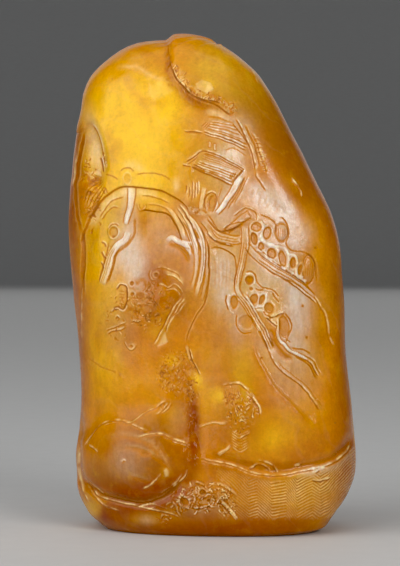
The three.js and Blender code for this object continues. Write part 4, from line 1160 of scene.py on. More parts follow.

# %% [markdown]
# The foot
#
# All round the foot the rocks end in an undercut groove over a proud lip, and below it lies the
# water. The groove is a soft channel with a crisp cut at its bottom, under a painted shadow.

# %% Ledge round the foot
FOOT_LEFT = [(-26.8, 24), (-26.6, 14), (-25.6, 9.6), (-22.4, 7), (-18, 5.6), (-14, 4.9), (-10.6, 5.6),
             (-7.4, 7.6), (-5.2, 9.6)]
FOOT_RIGHT = [(28.6, 19.5), (27.2, 16.6), (25.4, 14.8), (23.4, 13.6), (20, 12.8), (16.4, 12),
              (13, 11.6), (10.2, 11.8), (7.2, 12.4), (4.4, 13.4), (1.6, 14.1), (-1.4, 14.6)]
LIP_RIGHT = [(28.3, 17.5), (27.5, 15.7), (25.7, 14), (23.6, 12.7), (20.1, 11.9), (16.5, 11.1),
             (13, 10.6), (10.2, 10.8), (7.4, 11.5), (4.6, 12.6), (1.7, 13.3), (-1.1, 13.8), (-2.6, 14)]
LIP_LEFT = [(-25.5, 10), (-24.2, 8.4), (-22.8, 6.7), (-21, 5.9), (-18.4, 5.2), (-15.8, 4.6),
            (-13.4, 4.9), (-11.1, 5.6)]
swath(FOOT_LEFT, -0.8, 1.9, 0.1)
swath(FOOT_RIGHT, -0.5, 1.6, 0.1)
# Painted shadow along the groove, under the overhang of the rocks.
swath(FOOT_RIGHT, 0.5, 1.1, 0.1, "stain")
swath(shifted(FOOT_LEFT[3:], 0, 0.7), 0.55, 1.8, 0.15, "stain")
cut(FOOT_LEFT[2:], 0.2, 0.5, 0.6, 0.1)
swath(shifted(LIP_RIGHT, 0, -0.7), 0.2, 1.8)
LIP_BY_X = LIP_RIGHT[::-1]
line(LIP_BY_X, 0.18, 0.34, 0.6, 0.05)
line(shifted(LIP_BY_X[:6], 0.2, -0.6), 0.1, 0.3, 0.35)
swath(shifted(LIP_RIGHT[:6], 0, -0.8), 0.3, 1.3, 0.2, "pale")
line(LIP_LEFT, 0.2, 0.36, 0.65, 0.08)
for rim, height, pale in [
    ([(-15.8, 4.6), (-12.9, 4), (-10, 3.4), (-7.6, 2.9), (-6, 2.2)], 0.16, 0.7),
    ([(-14, 4.4), (-12, 4.7), (-10, 4.3), (-8.4, 3.8)], 0.1, 0.5),
    ([(-26.5, 16.6), (-26.7, 13.6), (-26.5, 11.3), (-26, 9), (-25.4, 7.2), (-24.2, 5.2)], 0.14, 0.6),
    ([(-25, 8.4), (-23.7, 6.9), (-22.5, 5.9), (-21, 4.7), (-18.1, 3.4)], 0.12, 0.5),
    ([(-24.2, 9.4), (-22.6, 7.8), (-21.4, 6.9)], 0.08, 0.4),
    ([(-26.2, 21), (-26.6, 18.4), (-26.8, 15.4)], 0.1, 0.4),
    ([(7.4, 12), (8.4, 12.1), (9.2, 12.7), (10.4, 12.7), (11.4, 12.1), (12, 11.4)], 0.14, 0.55),
    ([(9.5, 13.6), (11.6, 13.1), (13, 12), (13.4, 11.1)], 0.14, 0.6),
]:
    line(rim, height, 0.36, pale, 0.1)
swath([(-16.6, 1.0), (-14, 1.8), (-11, 1.4), (-8.6, 2.2)], 0.1, 1.5, 0.5, "pale")
chips((-12.4, 4.5), (2.4, 0.7), -8, 0.5, 0.08, 90, 0.6, 0.3)
chips((21.4, 11.9), (2.2, 0.7), 14, 0.5, 0.14, 91, 0.9, 0.2)
line([(20.6, 11.2), (21.8, 11.8), (23, 12.3)], 0.12, 0.36, 0.9)
line([(20.2, 10), (21.4, 9.6), (22.8, 9.8), (24, 10.3)], 0.12, 0.4, 0.7)
chips((17.6, 12.5), (1.0, 0.7), 0, 0.35, 0.1, 97, 0.7)
tell("ledge round the foot")

# %% [markdown]
# The water
#
# The water is the old fish-bone pattern: even lines that fold up and down from column to column.
# The cut's depth at each cell is a ploughed field, 1 − |sin|, of its height less the fold at its
# place across. In the middle the water breaks into foam over small stones.

# %% Water
WATER_STEP, WATER_DEPTH = 0.6, 0.16
FOLD_PLACES = [-1, 7.6, 9.4, 12.1, 15, 17.4, 20.4, 22, 23.6, 26, 29]
FOLD_RISES = [-0.9, 0.35, -1.0, 0.18, -1.1, 0.55, -0.65, 0.6, 1.15, 1.0]
fold_heights = np.concatenate([[0], np.cumsum(np.diff(FOLD_PLACES) * FOLD_RISES)])
print("the folds end", round(float(fold_heights[-1]), 1), "mm from where they start")


def water():
    """depth · (1 − |sin(π · (z − fold(x)) / step)|^0.8), faded into the lip and the edges."""
    place = window((-1.5, 1.0), (29, 19))
    x, z = hand_x[place], hand_z[place]
    fold = np.interp(x + 0.3 * noise(x / 3, z / 2.4, 101), FOLD_PLACES, fold_heights)
    furrow = 1 - np.abs(np.sin(math.pi * (z - fold) / WATER_STEP)) ** 0.8
    lip = np.interp(x, *np.array(LIP_BY_X).T)
    fade = ease(lip - 0.9 - z, 0, 0.8) * ease(z, 1.4, 3.0) * (0.4 + 0.6 * ease(x, 6, 11)) * ease(x, 0, 3)
    strength = (0.85 + 0.4 * noise(x / 2.5, z / 2, 102)) * fade
    mark(front, place, height=-WATER_DEPTH * strength * furrow,
         stain=0.75 * strength * ease(furrow, 0.15, 0.7),
         pale=0.65 * strength * ease(0.25 - furrow, 0, 0.2))


water()
tell("water")

# %% [markdown]
# The foam
#
# Foam could be noise, but on this stone it is worked like the rest: two low stones, a few drilled
# holes, wriggling ridges, and many short pale strokes between. The dark specks that this stone has
# here and there are shallow stained pits.

# %% Foam and specks
swell(0.9, (-4.6, 5.6), (4.4, 4))
swell(0.7, (2, 7), (4.2, 3.2), -24)
pit((-5, 5.5), (0.9, 0.85), 0, 0.35, 0.15, 0.6, 0.4)
pit((-1.5, 7.2), (0.6, 0.5), 0, 0.3, 0.1, 0.85, 0.3)
for ridge, height, wide, pale in [
    ([(-3, 9.4), (-1.6, 8.8), (-0.4, 8)], 0.14, 0.45, 0.4),
    ([(-0.6, 8.2), (1, 9), (2.8, 8.6), (4.6, 7.2), (5.4, 6.4)], 0.18, 0.5, 0.5),
    ([(0.4, 7.6), (1.6, 8.1), (2.8, 7.6), (4, 6.6)], 0.14, 0.35, 0.4),
    ([(2, 5.6), (3.5, 4.1), (4.6, 2.7), (5.4, 1.6)], 0.22, 0.7, 0.75),
    ([(1.4, 5), (2.6, 4), (3.6, 2.6)], 0.12, 0.4, 0.4),
    ([(-7.6, 5.4), (-6.8, 4.6), (-6.4, 3.4), (-5.8, 2.4)], 0.14, 0.45, 0.45),
    ([(-3.6, 6.9), (-3, 6.2), (-3.2, 5.2), (-3.8, 4.4)], 0.12, 0.4, 0.4),
    ([(-3.9, 4.5), (-2.4, 4.1), (-0.6, 4.4), (1.2, 4.2)], 0.16, 0.4, 0.4),
    ([(-2.6, 6.4), (-1.4, 6.1), (-0.4, 6.8), (0.4, 6.4)], 0.1, 0.4, 0.35),
]:
    bough(ridge, height, wide, pale, 0.5, 0.12)
for centre, radii, size, seed in [((-2.8, 7.4), (3.4, 2.4), 0.5, 92), ((-6.2, 4.4), (2.0, 2.0), 0.5, 93),
                                  ((3.2, 4.4), (1.8, 2.4), 0.5, 94), ((-9, 1.8), (1.3, 0.8), 0.4, 95),
                                  ((0.6, 6), (2.4, 1.6), 0.5, 96)]:
    chips(centre, radii, 0, size, 0.1, seed, 0.2, 0.55)
flecks((-2.4, 6), (6.6, 3.2), 8, 130, 0.8, 98, 0.8, 0.35)
flecks((3.4, 4.4), (2, 2.6), 0, 30, 0.7, 99, 0.9, 0.35)
flecks((-9, 1.8), (1.8, 0.9), 0, 18, 0.6, 89, 0.5, 0.4)
for centre in [(-0.4, 4.2), (1.8, 4.9), (-3.6, 5.6), (-5.4, 6.4), (-2.4, 3.8)]:
    pit(centre, (0.34, 0.2), 0, 0.25, 0.05, 1.0, 0.4)
for x, z in [(23.4, 60.4), (21.2, 56), (18.8, 44.4), (19.6, 38.2), (25, 21), (10.2, 34), (-12.4, 46)]:
    pit((x, z), (0.2, 0.16), 20, 0.12, 0.0, 0.9, 0.0)
tell("foam and specks")

# %% [markdown]
# The back
#
# The photo doesn't show the back. A carver leaves it plainer, so it has the foot line running on,
# four ranges of rock with light strokes under their crests, and a few water lines. These strokes go
# on the sheets `back`, seen straight through the stone from the front.

# %% Back
BACK_FOOT = [(-28.4, 20), (-22, 15.6), (-14, 12.6), (-4, 11.2), (6, 11.8), (16, 13.6), (23, 16.4),
             (27.6, 22)]
FOLDS = [
    [(-21, 60), (-16, 66.4), (-12.6, 69), (-9, 68.6), (-5, 73), (-1.6, 75.6), (2, 73.6), (6, 74),
     (10, 69.6), (15, 62)],
    [(-26, 38), (-22, 44), (-18.6, 45.6), (-15, 50), (-11.4, 51.6), (-8, 48.4), (-4, 47.4), (0, 42),
     (4, 35)],
    [(-3, 30), (1, 36.4), (4.6, 38), (8, 42.6), (11.4, 44), (15, 41), (19, 40.4), (24, 33)],
    [(-24, 22), (-19, 27.6), (-15, 28.6), (-11, 32), (-7.6, 30.6), (-4, 26), (1, 20)],
]
swath(BACK_FOOT, -0.9, 2.0, 0.06, on=back)
cut(BACK_FOOT, 0.2, 0.5, 0.6, 0.05, on=back)
line(shifted(BACK_FOOT, 0, -1.2), 0.2, 0.4, 0.5, 0.05, on=back)
for fold in FOLDS:
    drop(fold[::-1], 0.5, 0.7, 7, 0.2, on=back)
    line(fold, 0.14, 0.36, 0.5, 0.1, on=back)
    for (x, z), (_, next_z) in zip(fold[1:-1], fold[2:]):
        lean = 0.5 * np.sign(next_z - z)
        for near, long in ((0.3, 3.4), (1.1, 2.4), (1.9, 3.0)):
            top = z - 0.8 - 0.2 * near
            cut([(x + near, top), (x + near - lean, top - long / 2), (x + near - 2 * lean, top - long)],
                0.08, 0.34, 0.3, 0.25, on=back)
swell(0.6, (-6, 34), (18, 16), on=back)
for step in range(6):
    inward, down = 1.5 * step, 1.1 * step
    cut([(-18 + inward, 9.4 - down), (-8, 7.6 - down), (1, 8.6 - down), (9, 7.8 - down),
         (18 - inward, 9.4 - down)], 0.08, 0.34, 0.35, on=back)
print(f"back relief from {back['height'].min():.2f} to {back['height'].max():.2f} mm")

# %% [markdown]
# From the pane to the stone
#
# Each point of the grid looks up its cell as the eye sees it, and moves along the stone's own
# outward direction. Faces that turn away from the eye take less of the carving and then none, so
# no stroke is stretched round the side. A soft hand-rubbed unevenness covers everything, but calms
# down near the point where the columns meet, and the lowest ROOTED mm stay true, so that the stone
# stands flat.

# %% Carve
CARVED = (0.02, 0.24)
CARRIED_ROUND = (-0.45, -0.1)
ROOTED = 1.2
CALM = (0.9, 0.98)


def drawn(points):
    """Where the eye sees a point on the pane: size = distance / (distance + y cos − above sin)."""
    sin, cos = math.sin(EYE_TILT), math.cos(EYE_TILT)
    above = points[..., 2] - EYE_LEVEL
    size = EYE_DISTANCE / (EYE_DISTANCE + points[..., 1] * cos - above * sin)
    return points[..., 0] * size, EYE_LEVEL + (above * cos + points[..., 1] * sin) * size


def look(sheet, x, z):
    """The sheet's value at x, z, mixed from the four nearest cells."""
    c = np.clip((x - LEFT) / CELL, 0, len(pane_x) - 1.001)
    r = np.clip((z - LOW) / CELL, 0, len(pane_z) - 1.001)
    ic, ir = c.astype(int), r.astype(int)
    tc, tr = c - ic, r - ir
    low = sheet[ir, ic] * (1 - tc) + sheet[ir, ic + 1] * tc
    high = sheet[ir + 1, ic] * (1 - tc) + sheet[ir + 1, ic + 1] * tc
    return low * (1 - tr) + high * tr


eye_x, eye_z = drawn(plain)
facing = -plain_normal[..., 1] * math.cos(EYE_TILT) + plain_normal[..., 2] * math.sin(EYE_TILT)
on_front = ease(facing, *CARVED)
on_round = ease(facing, *CARRIED_ROUND)
on_back = ease(-facing, *CARVED)
rooted = ease(plain[..., 2], 0, ROOTED)


def on_stone(name):
    """The three works' sheets of one name, each where its side of the stone takes it."""
    return (on_front * look(front[name], eye_x, eye_z) + on_round * look(carried[name], eye_x, eye_z)
            + on_back * look(back[name], plain[..., 0], plain[..., 2]))


ROUND_LATTICE = 24
turn_u = np.broadcast_to(np.arange(GRID) / GRID * ROUND_LATTICE, facing.shape)
rubbed = 0.1 * noise(turn_u, plain[..., 2] / 7, 201, ROUND_LATTICE)
rubbed += 0.05 * noise(turn_u * 2, plain[..., 2] / 3, 202, 2 * ROUND_LATTICE)
side_wear = 0.35 * noise(turn_u / 2, plain[..., 2] / 14, 203, ROUND_LATTICE // 2)
below_close = 1 - ease(np.arange(GRID + 1) / GRID, *CALM)[:, None]

relief = on_stone("height") + (rubbed + (1 - on_front) * side_wear) * below_close
relief *= rooted
relief[-1] = relief[-1].mean()
carved = plain + relief[..., None] * plain_normal
normal = outward(carved)
print(f"relief from {relief.min():.2f} to {relief.max():.2f} mm")

# %% [markdown]
# What the finish needs to know
#
# The pale sheet (rubbing and painted highlights) and the stained sheet (wax and painted shade) go
# along with the shape. A faint painted shade is added to every broad hollow: the height is compared
# with itself made blurry, and what lies below is a hollow. The stone's colours are broad soft
# places, painted as ovals; some of them are painted sheen and shade.

# %% Hollows
BLUR = 1.2
HOLLOW = (0.08, 0.5)


def blurred(sheet, size):
    """The sheet averaged with a bell of that size, by multiplying its spectrum with the bell's own."""
    fz = np.fft.fftfreq(sheet.shape[0], CELL)[:, None]
    fx = np.fft.rfftfreq(sheet.shape[1], CELL)[None, :]
    keep = np.exp(-2 * (math.pi * size) ** 2 * (fz**2 + fx**2))
    return np.fft.irfft2(np.fft.rfft2(sheet) * keep, sheet.shape).astype("f4")


def hollow_of(height):
    """How far the height lies below its own blur, counted from 0 to 1 between HOLLOW's two depths."""
    return ease(blurred(height, BLUR) - height, *HOLLOW)


front["hollow"] = hollow_of(front["height"] + carried["height"])
carried["hollow"] = blank()
back["hollow"] = hollow_of(back["height"])
print("share of the pane in hollows:", round(float(front["hollow"].mean()), 3))

# %% Places of colour
PLACES = {
    "honey": [
        (-14, 79, 13, 13, 1.0), (-15, 86, 11, 8, 0.75, 10), (-14, 68, 12, 7, 0.6),
        (-10, 87.6, 3.2, 2.2, 1.0, -20), (-0.6, 88.4, 2, 1.8, 0.7), (-14, 94, 9, 3, 0.15, 8),
        (-12, 1.8, 9, 2.4, 0.4), (-22, 57, 5, 13, 0.7), (-21, 36, 5, 17, 0.5), (-8, 33.4, 2.2, 1.6, 0.5),
        (-17, 48, 5, 7, 0.3), (22, 50, 3.4, 14, 0.12, 8), (20.6, 34, 3, 9, 0.15), (-1, 26, 4, 7, 0.25),
        (-3, 29.6, 1.6, 1.8, 0.9), (1.6, 26.4, 1.8, 1.6, 0.6), (13.8, 19.8, 7, 5, 0.35),
        (1, 92, 6, 5, 0.35, -30), (-8.4, 11.2, 1.4, 2.0, 0.5, 10), (17, 7.6, 9, 4.6, 0.4, 10),
        # The spot at (−24, 76) is painted light: it lightens the left flank, which faces away from the
        # lamps.
        (10.6, 17, 6, 3, 0.3), (-24, 76, 4, 9, 0.6), (-23.4, 3.4, 2.6, 3.2, 0.4, -30),
    ],
    "olive": [
        (3, 91, 12, 9, 0.6, -35), (-19, 60, 5.5, 8, 0.55), (-10, 40, 3, 4, 0.35), (-4, 4, 9, 5, 0.4),
        (-24, 4, 4, 4, 0.3, -40), (20, 9, 8, 5, 0.4, 15), (6, 26, 4, 6, 0.35), (-7, 23, 3, 4, 0.3),
        (3, 50, 7, 13, 0.5), (1.6, 72, 7, 11, 0.55, -20), (6.4, 32, 3.4, 9, 0.4),
        (22, 46, 3.4, 16, 0.18, 8), (11, 47, 9, 9, 0.5, -30), (13, 62, 6, 5, 0.3, -35),
        (14, 34, 6, 8, 0.3, 35),
    ],
    # Rust places are partly the stone's own red and partly painted shade: in the cleft at (−4.4, 86.4)
    # and (−8.4, 92), in the valley at (−3.4, 19.4) and along the left and right margins, where the stone
    # turns away from the lamps. The wide one at (−2, 0) makes the base darker towards the bottom.
    "rust_and_shade": [
        (-3.4, 19.4, 1.7, 9.6, 0.9, 2), (-4.6, 22, 4, 10, 0.35, 8), (-4.4, 86.4, 5.6, 1.6, 0.45, -32),
        (-8.4, 92, 1.2, 5.4, 0.4, 4), (14, 30, 8, 6, 0.15, 40), (-6, 45, 3, 4, 0.25),
        (-26.4, 34, 2.2, 18, 0.35), (-19, 7.4, 8, 3, 0.35, -12), (-12, 17.6, 8, 5, 0.2),
        (-8, 29.6, 4, 4.6, 0.16, 15), (-4, 7.6, 22, 3.4, 0.15), (-18.4, 3, 4.4, 3.4, 0.5),
        (-14.4, 88.8, 6, 1.6, 0.16, -20), (-9, 78, 6, 2, 0.14, -45), (-18, 81, 4, 2.4, 0.1, 30),
        (-12, 73, 7, 1.6, 0.1, -20), (-13.4, 1.8, 4.4, 1.8, -0.3), (-23.6, 5, 2.4, 3.4, -0.45, -30),
        (4, 1.6, 5, 1.6, -0.3), (17, 3.4, 6, 1.8, -0.35, 12), (-11, 6, 9, 3.4, 0.9, 12),
        (-6, 9, 3.4, 4, 0.55, -30), (-28, 60, 3, 24, 0.7), (-26.6, 76, 2.0, 10, 0.5),
        (-21, 3, 1.6, 2.6, 0.5), (-11.4, 46, 5.4, 6, 0.5), (28, 26, 4, 28, 0.6), (27, 10, 4, 9, 0.6),
        (13, 12.8, 9, 1.4, 0.3), (-4, 63.4, 4, 2.4, 0.45, -30), (-14, 7.4, 11, 4, 0.6),
        (-28, 30, 3, 24, 0.7), (-2, 0, 34, 5.4, 0.85), (-10.5, 54.6, 2, 6, 0.2), (27, 56, 3, 18, 0.4, 22),
        (-8, 12, 5, 6, 0.35, -20), (19, 72, 4, 14, 0.3, 25), (-11, 51, 3, 3, 0.4),
        (2, 12.4, 5, 2.4, 0.3, -10), (9.4, 18.8, 3.4, 4.4, 0.3), (-4, 12, 2, 3.4, 0.3),
    ],
    # Cream places are partly the paler stone where the skin is cut away and partly painted sheen, as in
    # the arch at (−15.4, 54), on the upper right at (11.2, 66.4) and (15, 62.4) and on the lower right at
    # (17.6, 42). The one on the left flank at (−23.6, 77) is painted light on a facet that faces away
    # from the lamps.
    "cream_and_sheen": [
        (2.4, 50, 2.8, 8, 0.75), (11.2, 66.4, 4.6, 3.8, 1.0, -35), (15, 62.4, 3.4, 3, 0.8, -30),
        (17, 58, 4, 5, 0.7, -20), (13, 51, 8, 5, 0.5, -30), (17.6, 42, 4, 7, 0.9),
        (12, 36, 5, 7, 0.3, 30), (16.4, 30, 7, 5.6, 0.25, 40), (-2.4, 55, 3, 9, 0.35, 10),
        (-15.4, 54, 3.4, 9, 1.0, 14), (3, 62, 5, 4, 0.35), (4, 73, 6, 6, 0.35, -30),
        (-23.6, 77, 2.6, 8, 0.5, 8), (-10.6, 58, 4, 7, 0.24), (-2, 5, 6, 4, 0.3),
        (14.6, 64.4, 3, 2.4, 0.45, -35), (4, 58, 11, 27, 0.14), (-18, 42, 5, 10, 0.12),
        (18, 30, 7, 10, 0.08), (4.8, 48, 2.6, 12, 0.2), (5.4, 40, 2.2, 5, 0.2), (5, 80, 5, 4, 0.25, -20),
        (-6, 21.4, 2.6, 4, 0.2), (-16, 13, 4.4, 4, 0.25), (-12.8, 1.4, 2, 1.6, 0.3),
        (18, 47.4, 4, 3, 0.6, -30), (-16.2, 64, 2, 6, 0.4, 5), (-19, 53, 2.2, 6, 0.4, -18),
        (-6, 56.8, 4, 2.4, 0.5, -20), (3.8, 66.4, 2.4, 5, 0.5, -35), (16.4, 36, 5, 3, 0.4, -20),
        (2.4, 72.4, 6, 3, 0.25, -26), (3, 79.4, 5.4, 2.8, 0.25, -20), (11, 58, 4, 5, 0.45, -30),
        (9.6, 46, 4, 5, 0.35, -30), (21.4, 12, 5, 2, 0.3, 14),
    ],
    # Brown places are mostly the stone's own brown, and the band along the right margin at (25.6, 50) is
    # painted shade where the stone turns away from the lamps.
    "brown_and_shade": [
        (-14, 13, 13, 10, 1.0), (11, 82, 6, 14, 0.8, 35), (18, 71, 5, 13, 0.7, 25),
        (25.6, 50, 3, 20, 0.4, 8), (-10, 4, 8, 3, 0.3), (-9, 53, 5, 9, 0.4), (3, 35, 6, 6, 0.35),
        (-6, 46, 3, 6, 0.6), (5, 59, 7, 4, 0.3), (-2, 2, 30, 5, 0.6), (6, 86, 10, 7, 0.5, -40),
        (4, 22, 5, 8, 0.4), (-11, 20, 7, 4, 0.4), (-21, 8, 7, 5, 0.5, -30), (7, 8, 5, 3.6, 0.45),
        (-4, 12.2, 2.4, 3.4, 0.5),
    ],
}


def place_sheet(spots):
    """The sum of strength · exp(−(r / 0.75)^2.6) over the ovals, held between 0 and 1. A spot's numbers
    are its centre, half sizes, strength and turn, if any. A strength below 0 takes colour away."""
    sheet = blank()
    for x, z, wide, tall, strength, *turn in spots:
        place, r, _, _ = oval((x, z), (wide, tall), *turn)
        sheet[place] += strength * np.exp(-((r / 0.75) ** 2.6))
    return np.clip(sheet, 0, 1)


masks = {name: on_front * look(place_sheet(spots), eye_x, eye_z) for name, spots in PLACES.items()}
masks.update({name: np.clip(on_stone(name), 0, 1) for name in ("pale", "stain", "hollow")})
away = 1 - on_front
for name, strength, wide, tall, seed, low, high in [
    ("honey", 0.5, 4, 22, 301, 0, 0.8),
    ("brown_and_shade", 0.5, 3, 16, 302, -0.4, 0.6),
    ("rust_and_shade", 0.4, 3, 12, 303, 0, 0.7),
]:
    drift = noise(turn_u / wide, plain[..., 2] / tall, seed, ROUND_LATTICE // wide)
    masks[name] += away * strength * ease(drift, low, high)
print({name: round(float(mask.mean()), 3) for name, mask in masks.items()})

# %% [markdown]
# Fewer triangles where the stone is smooth
#
# The grid has two million triangles, far more than the smooth places need. The Decimate modifier
# could thin it, but it blurs thin lines. Here the grid is halved again and again into right
# triangles, and a triangle is split only where its long edge would miss the carved surface. A point
# that finer points hang from takes their need too, so the triangles always meet without a crack.

# %% Thinning
TRIANGLES = 190_000
COARSEST = 16
COLOUR_WEIGHT = 0.08
FRONT_WEIGHT = 0.65
SLIDE_WEIGHT = 0.06
shades = np.stack([masks["pale"], masks["stain"]], -1)
measured = np.concatenate([carved, COLOUR_WEIGHT * shades], -1).astype("f4")


def misses(rows, columns, dr, dc):
    """How far the middle of the edge from (−dr, −dc) to (+dr, +dc) lies from the point between them,
    counted for less where the stone turns away from the eye."""
    r, c = np.meshgrid(rows, columns, indexing="ij")
    middle = (measured[r - dr, (c - dc) % GRID] + measured[r + dr, (c + dc) % GRID]) / 2
    off = middle - measured[r, c]
    depth = np.abs((off[..., :3] * normal[r, c]).sum(-1))
    slide = SLIDE_WEIGHT * np.linalg.norm(off[..., :3], axis=-1)
    miss = depth + slide + np.linalg.norm(off[..., 3:], axis=-1)
    return miss * (1 - FRONT_WEIGHT + FRONT_WEIGHT * on_front[r, c])


def largest(need, rows, columns, steps):
    """The largest need among the neighbours at the given steps; rows past the poles count as 0."""
    r, c = np.meshgrid(rows, columns, indexing="ij")
    most = np.zeros(r.shape, "f4")
    for dr, dc in steps:
        inside = (r + dr >= 0) & (r + dr <= GRID)
        most = np.maximum(most, np.where(inside, need[np.clip(r + dr, 0, GRID), (c + dc) % GRID], 0))
    return most


def needs():
    """From the finest step up: edge middles take the square centres round them, and square centres
    the edge middles round them."""
    need = np.zeros((GRID + 1, GRID), "f4")
    step = 1
    while step < GRID:
        half = step // 2
        corners = [(half, half), (half, -half), (-half, half), (-half, -half)] if half else []
        flat = (np.arange(0, GRID + 1, 2 * step), np.arange(step, GRID, 2 * step), 0, step)
        tall = (np.arange(step, GRID, 2 * step), np.arange(0, GRID, 2 * step), step, 0)
        for rows, columns, dr, dc in (flat, tall):
            own = misses(rows, columns, dr, dc) if step < COARSEST else np.inf
            need[np.ix_(rows, columns)] = np.maximum(own, largest(need, rows, columns, corners))
        rows = columns = np.arange(step, GRID, 2 * step)
        even = ((rows[:, None] // (2 * step)) + (columns[None, :] // (2 * step))) % 2 == 0
        own = np.inf
        if step < COARSEST:
            own = np.where(even, misses(rows, columns, step, step), misses(rows, columns, step, -step))
        sides = [(0, step), (0, -step), (step, 0), (-step, 0)]
        need[np.ix_(rows, columns)] = np.maximum(own, largest(need, rows, columns, sides))
        step *= 2
    return np.concatenate([need, need[:, :1]], axis=1)


need = needs()
print("largest need in mm:", round(float(need[np.isfinite(need)].max()), 2))

# %% Splitting
BISECTIONS = 14


def split(need, slack):
    """Triangles as long-edge ends a and b and corner c, halved level by level at the long edge's
    middle for as long as the middle's need is above the slack."""
    a = np.array([[0, 0], [GRID, GRID]])
    b = np.array([[GRID, GRID], [0, 0]])
    c = np.array([[GRID, 0], [0, GRID]])
    done = []
    while len(a):
        m = (a + b) // 2
        more = (np.abs(a - c).sum(1) > 1) & (need[m[:, 1], m[:, 0]] > slack)
        done.append(np.stack([a[~more], c[~more], b[~more]], axis=1))
        a, b, c, m = a[more], b[more], c[more], m[more]
        a, b, c = np.concatenate([c, b]), np.concatenate([a, c]), np.concatenate([m, m])
    return np.concatenate(done)


def merged(corners):
    """One number per grid point, with the seam closed and each pole a single point; thin ones go."""
    column, row = corners[..., 0] % GRID, corners[..., 1]
    column = np.where((row == 0) | (row == GRID), 0, column)
    index = row * GRID + column
    kept = (index[:, 0] != index[:, 1]) & (index[:, 1] != index[:, 2]) & (index[:, 0] != index[:, 2])
    return index[kept]


low_slack, high_slack = 1e-4, 0.2
for _ in range(BISECTIONS):
    slack = math.sqrt(low_slack * high_slack)
    if len(split(need, slack)) > TRIANGLES:
        low_slack = slack
    else:
        high_slack = slack
triangles = merged(split(need, high_slack))
print("triangles:", len(triangles), "slack in mm:", round(high_slack, 4))

# %% [markdown]
# The mesh
#
# Only the grid points that a triangle uses become vertices. The normals come from the full grid, so
# that light still sees the finest strokes, and the colour masks go in as named attributes.

# %% Build the stone
used, corners = np.unique(triangles, return_inverse=True)
corners = corners.reshape(-1, 3)
mesh = bpy.data.meshes.new("carved_stone")
mesh.vertices.add(len(used))
mesh.vertices.foreach_set("co", (carved.reshape(-1, 3)[used] * MM).astype("f4").ravel())
mesh.loops.add(corners.size)
mesh.loops.foreach_set("vertex_index", corners.astype("i4").ravel())
mesh.polygons.add(len(corners))
mesh.polygons.foreach_set("loop_start", np.arange(0, corners.size, 3, dtype="i4"))
mesh.update(calc_edges=True)
mesh.validate()
mesh.shade_smooth()
mesh.normals_split_custom_set_from_vertices(normal.reshape(-1, 3)[used].astype("f4"))
for name, mask in masks.items():
    layer = mesh.attributes.new(name, "FLOAT", "POINT")
    layer.data.foreach_set("value", np.clip(mask, 0, 1).reshape(-1)[used].astype("f4"))
stone = added("carved_stone", mesh)
print("vertices:", len(mesh.vertices), "faces:", len(mesh.polygons))

# %% [markdown]
# Soapstone
#
# This soapstone is waxy and lets light in a little way, so it glows at its edges and in thin lips.
# A glossy plastic with a painted colour would look wrong: the Principled shader's subsurface
# part carries the colour, and cloudy noise, fine pale threads and the masks vary it. The colour
# work is a node group, because the polished face and the sawn underside share it. A few helpers
# come first, because a node tree written socket by socket hides what it does.

# %% Node helpers
def put(tree, value, socket):
    """Links the value to the socket if it is one itself, and else sets it."""
    if isinstance(value, bpy.types.NodeSocket):
        tree.links.new(value, socket)
    else:
        socket.default_value = value


def group(name, inputs, outputs):
    """An empty node group with named float inputs and named outputs."""
    tree = bpy.data.node_groups.new(name, "ShaderNodeTree")
    for label, default in inputs.items():
        socket = tree.interface.new_socket(label, in_out="INPUT", socket_type="NodeSocketFloat")
        socket.default_value = default
    for label, kind in outputs.items():
        tree.interface.new_socket(label, in_out="OUTPUT", socket_type=kind)
    return tree, tree.nodes.new("NodeGroupInput"), tree.nodes.new("NodeGroupOutput")


def node(tree, kind, inputs=None, **settings):
    """A shader node with its settings, its plain values and its links given by socket name."""
    made = tree.nodes.new("ShaderNode" + kind)
    for key, value in settings.items():
        setattr(made, key, value)
    for key, value in (inputs or {}).items():
        put(tree, value, made.inputs[key])
    return made


def blend(tree, amount, below, above):
    """Colour below + amount · (above − below)."""
    mix = node(tree, "Mix", data_type="RGBA", blend_type="MIX")
    for number, value in ((0, amount), (6, below), (7, above)):
        put(tree, value, mix.inputs[number])
    return mix.outputs[2]


def sums(tree, kind, *values):
    """One Math node on two or three values."""
    maths = node(tree, "Math", operation=kind)
    for socket, value in zip(maths.inputs, values):
        put(tree, value, socket)
    return maths.outputs[0]


def times(tree, a, b):
    """a · b."""
    return sums(tree, "MULTIPLY", a, b)


def off_middle(tree, value):
    """value − 0.5, so that noise swings both ways."""
    return sums(tree, "SUBTRACT", value, 0.5)


def clamped(tree, value):
    """The value held between 0 and 1."""
    return node(tree, "Clamp", {"Value": value}).outputs[0]


def between(tree, value, low, high):
    """The value rescaled so that low becomes 0 and high becomes 1, and held there."""
    span = {"Value": value, "From Min": low, "From Max": high}
    return node(tree, "MapRange", span).outputs[0]


def clouds(tree, place, scale, detail=4.0, rough=0.55, twist=0.0):
    """Noise from 0 to 1 on the stone's own coordinates, in metres."""
    return node(tree, "TexNoise", {
        "Vector": place, "Scale": scale, "Detail": detail, "Roughness": rough, "Distortion": twist,
    }).outputs[0]


def rubbings(tree, place, squash, scale, rough):
    """Noise drawn out up and down, because its Z counts only for the share squash."""
    drawn_out = node(tree, "Mapping", {"Vector": place, "Scale": (1.0, 1.0, squash)})
    return clouds(tree, drawn_out.outputs[0], scale, 3, rough)


print("node groups so far:", len(bpy.data.node_groups))

# %% The ground of the stone
AMBER = (0.64, 0.235, 0.008, 1)
DEEP = (0.46, 0.14, 0.014, 1)
HONEY = (0.94, 0.54, 0.014, 1)
OLIVE = (0.64, 0.38, 0.028, 1)
RUST_AND_SHADE = (0.29, 0.055, 0.002, 1)
BROWN_AND_SHADE = (0.38, 0.14, 0.012, 1)
CREAM_AND_SHEEN = (0.70, 0.56, 0.44, 1)

